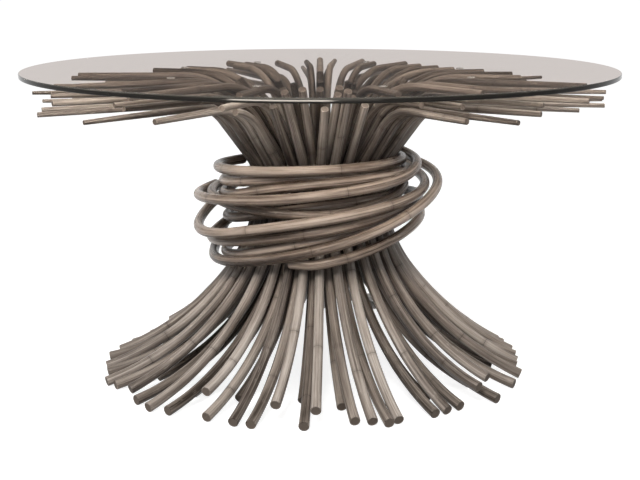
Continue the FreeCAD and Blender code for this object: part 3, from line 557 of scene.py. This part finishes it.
def straight_rod(name, radius, sides, cuts):
    """A straight rod one metre long on +X: rims eased, pith set in at both cut ends, loops along it."""
    rod = cylinder(name, sides, radius, 1, (0.5, 0, 0), (0, QUARTER_TURN, 0))
    pick(rod, "EDGE", lambda edge: abs(edge.verts[0].co.x - edge.verts[1].co.x) < 0.001)
    bpy.ops.mesh.bevel(offset=RIM_EASE, segments=2, affect="EDGES")
    pick(rod, "FACE", lambda face: abs(face.normal.x) > 0.99)
    bpy.ops.mesh.inset(thickness=PITH_BORDER_SHARE * radius, depth=0.0)
    bpy.ops.mesh.inset(thickness=PITH_WALL_SHARE * radius, depth=-PITH_DEPTH)
    bpy.ops.mesh.inset(thickness=PITH_MIDDLE_SHARE * radius, depth=0.0)
    for cut in cuts:
        pick(rod, "EDGE", lambda edge: abs(edge.verts[0].co.x - edge.verts[1].co.x) > 0.003)
        bpy.ops.mesh.subdivide(number_cuts=cut)
    bpy.ops.object.mode_set(mode="OBJECT")
    return rod


def ring_places(length, spacing, dice):
    """Places of the stem's own rings along a rod, at uneven steps and clear of both ends."""
    places = []
    along = spacing * dice.uniform(*FIRST_RING_SHARES)
    while along < length - LAST_RING_SHARE * spacing:
        places.append(along)
        along += spacing * dice.uniform(*NEXT_RING_SHARES)
    return places


def grown_rod(template, name, path, spacing, tint_range, seed):
    """A copy of the straight rod, stretched to its length, ringed and swollen like a stem, then bent."""
    dice = random.Random(seed)
    rod = template.copy()
    rod.data = template.data.copy()
    rod.name = name
    bpy.context.scene.collection.objects.link(rod)
    mesh = rod.data
    radius = max(vertex.co.z for vertex in mesh.vertices)
    loops = sorted({round(vertex.co.x, 5) for vertex in mesh.vertices
                    if ROD_END_SHARE < vertex.co.x < 1 - ROD_END_SHARE})
    stretched = {old: old * path.length for old in loops}
    rings = ring_places(path.length, spacing, dice)
    for ring in rings:
        nearest = min(range(1, len(loops) - 1), key=lambda k: abs(loops[k] * path.length - ring))
        for side in (-1, 0, 1):
            stretched[loops[nearest + side]] = ring + side * RING_REACH
    slender = dice.uniform(*SLENDER_RANGE)
    tint = dice.uniform(*tint_range)
    drift = Vector([dice.uniform(*DRIFT_RANGE) for _axis in range(3)])
    places, ring_gaps, cuts = [], [], []
    for vertex in mesh.vertices:
        x, y, z = vertex.co
        along = stretched.get(round(x, 5))
        if along is None:
            along = x if x < 0.5 else path.length - (1 - x)
        gap = min([abs(along - ring) for ring in rings] + [FAR_FROM_RING])
        spot = Vector((along * WAVER_ALONG, y * WAVER_ACROSS, z * WAVER_ACROSS)) + drift
        waver = 1 + WAVER * noise.noise(spot)
        swell = 1 + SWELL * math.exp(-(gap / SWELL_REACH) ** 2)
        if gap < RING_GROOVE:
            swell *= RING_SWELL
        thickness = slender * waver * swell * path.share_at(along)
        thickness += (path.share_at(0.0) - thickness) * max(0.0, 1 - along / FOOT_REACH)
        vertex.co = (along, y * thickness, z * thickness)
        places.extend((along + drift.x, y, z))
        ring_gaps.append(gap)
        cuts.append(1.0 if math.hypot(y, z) < CUT_FACE_SHARE * radius else 0.0)
    mesh.attributes.new("stem_place", "FLOAT_VECTOR", "POINT").data.foreach_set("vector", places)
    mesh.attributes.new("stem_ring", "FLOAT", "POINT").data.foreach_set("value", ring_gaps)
    mesh.attributes.new("stem_cut", "FLOAT", "POINT").data.foreach_set("value", cuts)
    mesh.attributes.new("stem_tint", "FLOAT", "POINT").data.foreach_set("value", [tint] * len(cuts))
    bend_along(rod, path)
    return rod


def bend_along(rod, path):
    """Bends a straight rod along its path with a curve modifier, and applies it."""
    line = bpy.data.curves.new("path", "CURVE")
    line.dimensions = "3D"
    line.resolution_u = 24
    line.twist_mode = "MINIMUM"
    spline = line.splines.new("BEZIER")
    spline.bezier_points.add(len(path.knots) - 1)
    handles = [path.handles[0]] + path.handles + [path.handles[-1]]
    for number, (place, direction) in enumerate(path.knots):
        knot = spline.bezier_points[number]
        knot.handle_left_type = "FREE"
        knot.handle_right_type = "FREE"
        knot.co = place
        knot.handle_left = place - direction * handles[number]
        knot.handle_right = place + direction * handles[number + 1]
    guide = bpy.data.objects.new("path", line)
    bpy.context.scene.collection.objects.link(guide)
    only(rod)
    bend = rod.modifiers.new("bend", "CURVE")
    bend.object = guide
    bend.deform_axis = "POS_X"
    bpy.ops.object.modifier_apply(modifier=bend.name)
    bpy.data.objects.remove(guide)
    bpy.data.curves.remove(line)


def joined(pieces, name):
    bpy.ops.object.select_all(action="DESELECT")
    for piece in pieces:
        piece.select_set(True)
    bpy.context.view_layer.objects.active = pieces[0]
    if len(pieces) > 1:
        bpy.ops.object.join()
    whole = bpy.context.view_layer.objects.active
    whole.name = name
    return whole


def finish_piece(piece, material, nodes, body="base"):
    """Smooth faces with crisp rims, the material, and what the piece stands for."""
    only(piece)
    bpy.ops.object.shade_smooth_by_angle(angle=SMOOTH_ANGLE)
    if material is not None:
        piece.data.materials.clear()
        piece.data.materials.append(material)
    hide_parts(*nodes)
    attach(piece, body)


def round_slab(name, radius, thickness, centre, sides, edge_round, segments):
    """A flat disc with rounded rims, its faces ringed by a thin border so that they shade flat."""
    slab = cylinder(name, sides, radius, thickness, centre)
    pick(slab, "EDGE", lambda edge: abs(edge.verts[0].co.z - edge.verts[1].co.z) < 0.0001)
    bpy.ops.mesh.bevel(offset=edge_round, segments=segments, affect="EDGES")
    pick(slab, "FACE", lambda face: abs(face.normal.z) > 0.999)
    bpy.ops.mesh.inset(thickness=edge_round, depth=0.0)
    bpy.ops.object.mode_set(mode="OBJECT")
    return slab


# ---- materials ----

class Sheet:
    """Adds nodes to a material's or a group's tree and links them."""

    def __init__(self, tree):
        self.tree = tree

    def add(self, kind, **values):
        node = self.tree.nodes.new(kind)
        inputs = values.pop("inputs", {})
        for name, value in values.items():
            setattr(node, name, value)
        for name, value in inputs.items():
            self.feed(node.inputs[name], value)
        return node

    def feed(self, socket, value):
        if isinstance(value, bpy.types.NodeSocket):
            self.tree.links.new(value, socket)
        else:
            socket.default_value = value

    def attribute(self, name, output):
        return self.add("ShaderNodeAttribute", attribute_name=name).outputs[output]

    def math(self, operation, first, second=0.0, clamp=False):
        node = self.add("ShaderNodeMath", operation=operation, use_clamp=clamp)
        self.feed(node.inputs[0], first)
        self.feed(node.inputs[1], second)
        return node.outputs[0]

    def times(self, first, second):
        return self.math("MULTIPLY", first, second)

    def swing(self, value, weight):
        """How far a noise is from its middle, weighted."""
        return self.times(self.math("SUBTRACT", value, 0.5), weight)

    def total(self, terms):
        whole, *others = terms
        for term in others:
            whole = self.math("ADD", whole, term)
        return whole

    def remap(self, value, low, high, to_low=0.0, to_high=1.0, smooth=True):
        node = self.add("ShaderNodeMapRange", interpolation_type="SMOOTHSTEP" if smooth else "LINEAR",
                        inputs={"Value": value, "From Min": low, "From Max": high,
                                "To Min": to_low, "To Max": to_high})
        return node.outputs["Result"]

    def noise(self, place, scale, detail=4.0, roughness=0.55):
        return self.add("ShaderNodeTexNoise",
                        inputs={"Vector": place, "Scale": scale, "Detail": detail, "Roughness": roughness}
                        ).outputs["Fac"]

    def stretched(self, place, scale):
        return self.add("ShaderNodeMapping", inputs={"Vector": place, "Scale": scale}).outputs["Vector"]

    def object_place(self):
        return self.add("ShaderNodeTexCoord").outputs["Object"]

    def height_of(self, place):
        return self.add("ShaderNodeSeparateXYZ", inputs={"Vector": place}).outputs["Z"]

    def length_of(self, place):
        node = self.add("ShaderNodeVectorMath", operation="LENGTH", inputs={"Vector": place})
        return node.outputs["Value"]

    def mixed(self, share, first, second):
        node = self.add("ShaderNodeMixShader")
        for socket, value in zip(node.inputs, (share, first, second)):
            self.feed(socket, value)
        return node.outputs["Shader"]

    def show(self, surface):
        self.feed(self.tree.nodes["Material Output"].inputs["Surface"], surface)

    def blend(self, share, first, second):
        node = self.add("ShaderNodeMix", data_type="RGBA")
        self.feed(node.inputs["Factor"], share)
        self.feed(node.inputs[6], first)
        self.feed(node.inputs[7], second)
        return node.outputs[2]


def new_group(name, inputs, outputs):
    group = bpy.data.node_groups.new(name, "ShaderNodeTree")
    for socket, kind, value in inputs:
        made = group.interface.new_socket(name=socket, in_out="INPUT", socket_type=kind)
        made.default_value = value
    for socket, kind in outputs:
        group.interface.new_socket(name=socket, in_out="OUTPUT", socket_type=kind)
    return group


def stem_skin_group():
    """Skin of a rattan stem: fibres, stained patches, scuffs, its rings, and the pith of a cut end."""
    group = new_group("stem skin", [
        ("Pale", "NodeSocketColor", OUTER_SKIN["Pale"]),
        ("Body", "NodeSocketColor", OUTER_SKIN["Body"]),
        ("Dark", "NodeSocketColor", OUTER_SKIN["Dark"]),
        ("Pith", "NodeSocketColor", PITH),
        ("Contrast", "NodeSocketFloat", 1.0),
        ("Drift", "NodeSocketFloat", 1.4),
        ("Satin", "NodeSocketFloat", 0.42),
    ], [("Color", "NodeSocketColor"), ("Roughness", "NodeSocketFloat"), ("Height", "NodeSocketFloat")])
    sheet = Sheet(group)
    given = group.nodes.new("NodeGroupInput").outputs
    out = group.nodes.new("NodeGroupOutput").inputs
    place = sheet.attribute("stem_place", "Vector")
    ring_gap = sheet.attribute("stem_ring", "Fac")
    cut = sheet.attribute("stem_cut", "Fac")
    tint = sheet.attribute("stem_tint", "Fac")
    fibres = sheet.noise(sheet.stretched(place, (4.0, 330.0, 330.0)), 1.0, 5.0, 0.62)
    streaks = sheet.noise(sheet.stretched(place, (2.2, 120.0, 120.0)), 1.0, 3.0, 0.6)
    fine_fibres = sheet.noise(sheet.stretched(place, (22.0, 1500.0, 1500.0)), 1.0, 2.0, 0.5)
    patches = sheet.noise(sheet.stretched(place, (7.0, 45.0, 45.0)), 1.0, 3.0, 0.55)
    scuffs = sheet.noise(sheet.stretched(place, (34.0, 150.0, 150.0)), 1.0, 4.0, 0.65)
    slow = sheet.noise(sheet.stretched(place, (1.3, 4.0, 4.0)), 1.0, 2.0, 0.5)
    # one value from dark to pale for the whole skin
    tone = sheet.total([sheet.swing(fibres, 1.3), sheet.swing(streaks, 1.5), sheet.swing(patches, 0.8),
                        sheet.swing(fine_fibres, 0.35), sheet.swing(slow, given["Drift"]),
                        sheet.swing(tint, 0.6)])
    tone = sheet.math("ADD", sheet.times(tone, given["Contrast"]), 0.5, clamp=True)
    skin = sheet.blend(sheet.remap(tone, 0.0, 0.5, smooth=False), given["Dark"], given["Body"])
    skin = sheet.blend(sheet.remap(tone, 0.5, 1.0, smooth=False), skin, given["Pale"])
    # scuffed, lighter flecks
    fleck = sheet.remap(scuffs, 0.60, 0.72)
    skin = sheet.blend(sheet.times(fleck, 0.35), skin, given["Pale"])
    # rings: a thin dark scar, broken by the scuffs, with a faint stain round it
    uneven_gap = sheet.math("ADD", ring_gap, sheet.swing(scuffs, 0.003))
    darkening = sheet.remap(uneven_gap, 0.002, 0.011, 1.0, 0.0)
    scar = sheet.remap(uneven_gap, 0.0003, 0.0017, 1.0, 0.0)
    skin = sheet.blend(sheet.times(darkening, 0.2), skin, given["Dark"])
    skin = sheet.blend(sheet.times(scar, 0.5), skin, given["Dark"])
    # cut ends: pores in the pith, and a darker rim
    pores = sheet.add("ShaderNodeTexVoronoi", feature="F1", inputs={"Vector": place, "Scale": 780.0})
    pore = sheet.remap(pores.outputs["Distance"], 0.16, 0.36, 1.0, 0.0)
    pith = sheet.blend(sheet.times(pore, 0.55), given["Pith"], given["Dark"])
    pith = sheet.blend(sheet.times(patches, 0.5), pith, given["Body"])
    skin = sheet.blend(sheet.remap(cut, 0.35, 0.95), skin, pith)
    sheet.feed(out["Color"], skin)
    gloss = sheet.total([given["Satin"], sheet.swing(scuffs, 0.35), sheet.swing(fibres, 0.2)])
    gloss = sheet.math("ADD", gloss, sheet.times(cut, 0.35), clamp=True)
    sheet.feed(out["Roughness"], gloss)
    relief = ((fibres, 0.6), (fine_fibres, 0.2), (streaks, 0.9), (scuffs, 0.35), (scar, -0.8),
              (sheet.times(cut, pore), -0.6))
    sheet.feed(out["Height"], sheet.total([sheet.times(*term) for term in relief]))
    return group


def new_material(name):
    material = bpy.data.materials.new(name)
    material.use_nodes = True
    sheet = Sheet(material.node_tree)
    shader = material.node_tree.nodes["Principled BSDF"]
    return material, sheet, shader


def stem_material(name, group, colours, contrast, satin, coat, drift=1.4, inside_shade=0.0,
                  binding_shadow=0.0):
    """Rattan, its colour darkened by painted shade deep in the bundle and by a painted shadow under the
    binding.
    """
    material, sheet, shader = new_material(name)
    skin = sheet.add("ShaderNodeGroup", node_tree=group)
    for socket, colour in colours.items():
        skin.inputs[socket].default_value = colour
    skin.inputs["Contrast"].default_value = contrast
    skin.inputs["Satin"].default_value = satin
    skin.inputs["Drift"].default_value = drift
    place = sheet.object_place()
    across = sheet.add("ShaderNodeVectorMath", operation="MULTIPLY", inputs={"Vector": place})
    across.inputs[1].default_value = (1.0, 1.0, 0.0)
    off_axis = sheet.length_of(across.outputs["Vector"])
    height = sheet.height_of(place)
    # Painted shadow under the binding, by height, and painted shade deep in the bundle, by distance from the
    # axis.
    binding_shadow_mask = sheet.math("MINIMUM", sheet.remap(height, *BINDING_SHADOW_FADE_IN, 0.0, binding_shadow),
                       sheet.remap(height, *BINDING_SHADOW_FADE_OUT, binding_shadow, 0.0))
    darkening = sheet.math("MAXIMUM", binding_shadow_mask, sheet.remap(off_axis, *INSIDE_SHADE_RADII, inside_shade, 0.0))
    sheet.feed(shader.inputs["Base Color"], sheet.blend(darkening, skin.outputs["Color"], INSIDE_PAINTED_SHADE))
    sheet.feed(shader.inputs["Roughness"], skin.outputs["Roughness"])
    shader.inputs["Specular IOR Level"].default_value = 0.14
    shader.inputs["Coat Weight"].default_value = coat
    shader.inputs["Coat Roughness"].default_value = 0.22
    bump = sheet.add("ShaderNodeBump", inputs={"Strength": 0.6, "Distance": 0.0012,
                                               "Height": skin.outputs["Height"]})
    sheet.feed(shader.inputs["Normal"], bump.outputs["Normal"])
    return material


def let_light_pass(sheet, surface, shadow_tint):
    """Makes the surface clear for light on its way to the rest of the table."""
    passing = sheet.add("ShaderNodeBsdfTransparent", inputs={"Color": shadow_tint}).outputs["BSDF"]
    shadow_ray = sheet.add("ShaderNodeLightPath").outputs["Is Shadow Ray"]
    sheet.show(sheet.mixed(shadow_ray, surface, passing))


def bumper_material():
    """Clear soft plastic, slightly hazy."""
    material, sheet, shader = new_material("bumper plastic")
    shader.inputs["Base Color"].default_value = BUMPER_TINT
    shader.inputs["Transmission Weight"].default_value = 1.0
    shader.inputs["IOR"].default_value = 1.45
    let_light_pass(sheet, shader.outputs["BSDF"], BUMPER_SHADOW_TINT)
    haze = sheet.noise(sheet.object_place(), 420.0, 3.0, 0.5)
    sheet.feed(shader.inputs["Roughness"], sheet.remap(haze, 0.3, 0.7, 0.15, 0.35))
    return material


def glass_material():
    """Clear polished glass, faintly smoky at a flat glance, which mirrors less there than a bare pane."""
    material, sheet, shader = new_material("table glass")
    facing = sheet.add("ShaderNodeLayerWeight", inputs={"Blend": 0.5}).outputs["Facing"]
    tint = sheet.blend(sheet.remap(facing, 0.35, 0.9), GLASS_FACE_TINT, GLASS_EDGE_TINT)
    sheet.feed(shader.inputs["Base Color"], tint)
    shader.inputs["Roughness"].default_value = 0.0
    shader.inputs["Transmission Weight"].default_value = 1.0
    shader.inputs["IOR"].default_value = 1.5
    clear = sheet.add("ShaderNodeBsdfTransparent", inputs={"Color": tint})
    inside = sheet.add("ShaderNodeNewGeometry").outputs["Backfacing"]
    see_through = sheet.math("MAXIMUM", inside, sheet.remap(facing, 0.3, 0.92, 0.0, GLASS_CLEAR_SHARE))
    surface = sheet.mixed(see_through, shader.outputs["BSDF"], clear.outputs["BSDF"])
    let_light_pass(sheet, surface, GLASS_SHADOW_TINT)
    return material


def rim_material():
    """Polished edge of the glass, clear from inside; from outside painted shade, near-black and darkest at
    the bottom, with a painted reflection as a lighter band at the top.
    """
    material, sheet, shader = new_material("glass rim")
    place = sheet.object_place()
    height = sheet.height_of(place)
    ripple = sheet.noise(sheet.stretched(place, (6.0, 6.0, 260.0)), 1.0, 3.0, 0.5)
    level = sheet.math("ADD", height, sheet.swing(ripple, 0.002))
    # painted shade, deepest along the bottom of the edge, and a painted reflection as a lighter band along
    # its top
    bottom_shade_band = sheet.remap(level, BASE_HEIGHT + 0.0015, BASE_HEIGHT + 0.004, 1.0, 0.0)
    top_reflection_band = sheet.remap(level, BASE_HEIGHT + 0.0085, BASE_HEIGHT + 0.0105)
    colour = sheet.blend(bottom_shade_band, srgb(12, 11, 10), srgb(6, 6, 5))
    colour = sheet.blend(sheet.times(top_reflection_band, 0.6), colour, srgb(52, 50, 46))
    sheet.feed(shader.inputs["Base Color"], colour)
    shader.inputs["Specular IOR Level"].default_value = 0.08
    shader.inputs["Specular Tint"].default_value = (1.0, 0.92, 0.84, 1.0)
    sheet.feed(shader.inputs["Roughness"], sheet.remap(ripple, 0.3, 0.7, 0.05, 0.14))
    clear = sheet.add("ShaderNodeBsdfTransparent", inputs={"Color": GLASS_EDGE_TINT})
    inside = sheet.add("ShaderNodeNewGeometry").outputs["Backfacing"]
    sheet.show(sheet.mixed(inside, shader.outputs["BSDF"], clear.outputs["BSDF"]))
    return material


def steel_material():
    material, sheet, shader = new_material("hoop steel")
    place = sheet.object_place()
    brushed = sheet.noise(sheet.stretched(place, (8.0, 8.0, 900.0)), 1.0, 3.0, 0.6)
    spots = sheet.noise(place, 60.0, 5.0, 0.6)
    colour = sheet.blend(brushed, srgb(120, 118, 114), srgb(168, 166, 160))
    colour = sheet.blend(sheet.remap(spots, 0.58, 0.7, 0.0, 0.6), colour, srgb(92, 66, 48))
    sheet.feed(shader.inputs["Base Color"], colour)
    sheet.feed(shader.inputs["Metallic"], sheet.remap(spots, 0.55, 0.7, 0.95, 0.2))
    sheet.feed(shader.inputs["Roughness"], sheet.remap(brushed, 0.2, 0.8, 0.3, 0.5))
    return material


def plywood_material():
    material, sheet, shader = new_material("core wood")
    place = sheet.object_place()
    warped = sheet.noise(sheet.stretched(place, (3.0, 26.0, 26.0)), 1.0, 4.0, 0.6)
    fine = sheet.noise(sheet.stretched(place, (16.0, 700.0, 700.0)), 1.0, 2.0, 0.5)
    height = sheet.height_of(place)
    plies = sheet.math("SINE", sheet.times(height, 2400.0))
    colour = sheet.blend(warped, srgb(150, 120, 92), srgb(186, 156, 122))
    colour = sheet.blend(sheet.times(fine, 0.5), colour, srgb(112, 84, 60))
    colour = sheet.blend(sheet.remap(plies, 0.2, 0.8, 0.0, 0.3), colour, srgb(96, 70, 50))
    sheet.feed(shader.inputs["Base Color"], colour)
    sheet.feed(shader.inputs["Roughness"], sheet.remap(fine, 0.3, 0.7, 0.5, 0.75))
    bump = sheet.add("ShaderNodeBump", inputs={"Strength": 0.3, "Distance": 0.0005, "Height": fine})
    sheet.feed(shader.inputs["Normal"], bump.outputs["Normal"])
    return material


def floor_material():
    """White floor: lit softly, lifted to plain white wherever the table's shadow doesn't reach."""
    material, sheet, shader = new_material("studio floor")
    shader.inputs["Roughness"].default_value = 0.9
    shader.inputs["Specular IOR Level"].default_value = 0.0
    ray = sheet.add("ShaderNodeLightPath")
    seen = sheet.math("MAXIMUM", ray.outputs["Is Camera Ray"], ray.outputs["Is Glossy Ray"])
    seen = sheet.math("MAXIMUM", seen, ray.outputs["Is Transmission Ray"])
    sheet.feed(shader.inputs["Base Color"], sheet.blend(seen, FLOOR_BOUNCE, FLOOR_GREY))
    place = sheet.object_place()
    lift = sheet.remap(sheet.length_of(place), *FLOOR_LIFT_RADII, FLOOR_LIFT, 1.0)
    shader.inputs["Emission Color"].default_value = WHITE
    sheet.feed(shader.inputs["Emission Strength"], sheet.times(seen, lift))
    return material


# ---- the table ----

def make_poles(rings, skin):
    """The three rings of poles and the poles on the core disc."""
    # Painted shade deep in the bundle for the middle and inner rings, and a painted shadow under the binding
    # for all three.
    outer = stem_material("rattan outer", skin, OUTER_SKIN, 1.1, 0.4, 0.05, binding_shadow=0.55)
    middle = stem_material("rattan middle", skin, MIDDLE_SHADED_SKIN, 1.0, 0.42, 0.05, inside_shade=0.75,
                           binding_shadow=0.6)
    inner = stem_material("rattan inner", skin, INNER_SHADED_SKIN, 1.0, 0.44, 0.05, inside_shade=0.85,
                          binding_shadow=0.6)
    pole = straight_rod("pole", POLE_RADIUS, POLE_SIDES, POLE_CUTS)
    poles = {}
    for ring, seed in POLE_SEEDS.items():
        poles[ring] = [grown_rod(pole, f"{ring}_pole", path, POLE_RING_SPACING, POLE_TINTS, seed + number)
                       for number, path in enumerate(rings[ring])]
    for number, stem in enumerate(poles["outer"], start=1):
        stem.name = f"outer_rattan_{number:02d}"
        finish_piece(stem, outer, [f"outer_pole_{number:02d}"])
    for number in range(1, RING_COUNT // 2 + 1):
        pair = joined(poles["middle"][2 * number - 2:2 * number], f"middle_rattan_{number:02d}")
        finish_piece(pair, middle, [f"middle_pole_pair_{number:02d}"])
    group_size = INNER_COUNT // INNER_GROUPS
    for number in range(1, INNER_GROUPS + 1):
        neighbours = poles["inner"][group_size * (number - 1):group_size * number]
        finish_piece(joined(neighbours, f"inner_rattan_{number}"), inner,
                     [f"inner_pole_group_{number}"])
    core = [grown_rod(pole, "core_pole", path, POLE_RING_SPACING, POLE_TINTS, CORE_SEED + number)
            for number, path in enumerate(core_paths())]
    finish_piece(joined(core, "core_rattan"), inner, ["core_poles"])
    return pole


def make_canes(skin):
    wrap = stem_material("wrap cane", skin, WRAP_SKIN, 1.3, 0.3, 0.2, 2.4)
    cane = straight_rod("cane", CANE_RADIUS, CANE_SIDES, CANE_CUTS)
    courses = (("inner", INNER_CANE_SHARES), ("middle", MIDDLE_CANE_SHARES), ("outer", OUTER_CANE_SHARES))
    for number, (name, shares) in enumerate(courses):
        coil = grown_rod(cane, f"{name}_binding", cane_path(shares), CANE_RING_SPACING, CANE_TINTS,
                         CANE_SEED + number)
        finish_piece(coil, wrap, [f"{name}_wrap_cane"])
    return cane


def make_glass():
    centre = (0, 0, BASE_HEIGHT + GLASS_THICKNESS / 2)
    glass = round_slab("glass_plate", GLASS_RADIUS, GLASS_THICKNESS, centre, GLASS_SIDES, GLASS_EDGE_ROUND,
                       GLASS_RIM_SEGMENTS)
    finish_piece(glass, None, ["glass_top"], "glass")
    glass.data.materials.append(glass_material())
    glass.data.materials.append(rim_material())
    for face in glass.data.polygons:
        face.material_index = 0 if abs(face.normal.z) > 0.9 else 1


def make_bumpers(places):
    discs = []
    for place in places:
        centre = (place.x, place.y, BASE_HEIGHT - BUMPER_THICKNESS / 2 + FIT_GAP / 2)
        discs.append(round_slab("bumper", BUMPER_RADIUS, BUMPER_THICKNESS - FIT_GAP, centre, BUMPER_SIDES,
                                BUMPER_EDGE_ROUND, BUMPER_RIM_SEGMENTS))
    finish_piece(joined(discs, "clear_bumpers"), bumper_material(), ["glass_bumpers"])


def make_table():
    skin = stem_skin_group()
    rings, bumper_places = pole_paths()
    templates = (make_poles(rings, skin), make_canes(skin))
    for template in templates:
        bpy.data.objects.remove(template)
    make_glass()
    make_bumpers(bumper_places)
    steel = steel_material()
    for name in ("outer_hoop", "inner_hoop"):
        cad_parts[name].material_slots[0].material = steel
    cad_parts["core_disc"].material_slots[0].material = plywood_material()


def soft_box(name, place, aim, width, height, power, colour):
    light = bpy.data.lights.new(name, "AREA")
    light.shape = "RECTANGLE"
    light.size = width
    light.size_y = height
    light.energy = power
    light.color = colour
    lamp = bpy.data.objects.new(name, light)
    bpy.context.scene.collection.objects.link(lamp)
    lamp.location = place
    lamp.rotation_euler = (Vector(aim) - Vector(place)).to_track_quat("-Z", "Y").to_euler()
    return lamp


def make_studio():
    bpy.ops.object.select_all(action="DESELECT")
    bpy.ops.mesh.primitive_plane_add(size=FLOOR_SIZE, location=(0, 0, 0))
    floor = bpy.context.object
    floor.name = "studio_floor"
    floor.data.materials.append(floor_material())
    for lamp in LAMPS:
        soft_box(*lamp)
    strip = soft_box(*STRIP)
    lit = bpy.data.collections.new("lit by the strip")
    lit.objects.link(bpy.data.objects["glass_plate"])
    strip.light_linking.receiver_collection = lit

    world = bpy.data.worlds.new("studio")
    bpy.context.scene.world = world
    world.use_nodes = True
    sheet = Sheet(world.node_tree)
    background = world.node_tree.nodes["Background"]
    ray = sheet.add("ShaderNodeLightPath")
    seen = sheet.math("MAXIMUM", ray.outputs["Is Camera Ray"], ray.outputs["Is Glossy Ray"])
    seen = sheet.math("MAXIMUM", seen, ray.outputs["Is Transmission Ray"])
    sheet.feed(background.inputs["Color"], sheet.blend(seen, ROOM_LIGHT, WHITE))

    lens = bpy.data.cameras.new("photo_camera")
    lens.lens = CAMERA_LENS
    lens.sensor_width = CAMERA_SENSOR
    lens.shift_y = CAMERA_SHIFT
    lens.clip_end = CAMERA_REACH
    camera = bpy.data.objects.new("photo_camera", lens)
    bpy.context.scene.collection.objects.link(camera)
    camera.location = CAMERA_PLACE
    camera.rotation_euler = (QUARTER_TURN + CAMERA_TILT, 0, 0)
    bpy.context.scene.camera = camera
    bpy.context.scene.view_settings.view_transform = "Standard"


make_table()
make_studio()
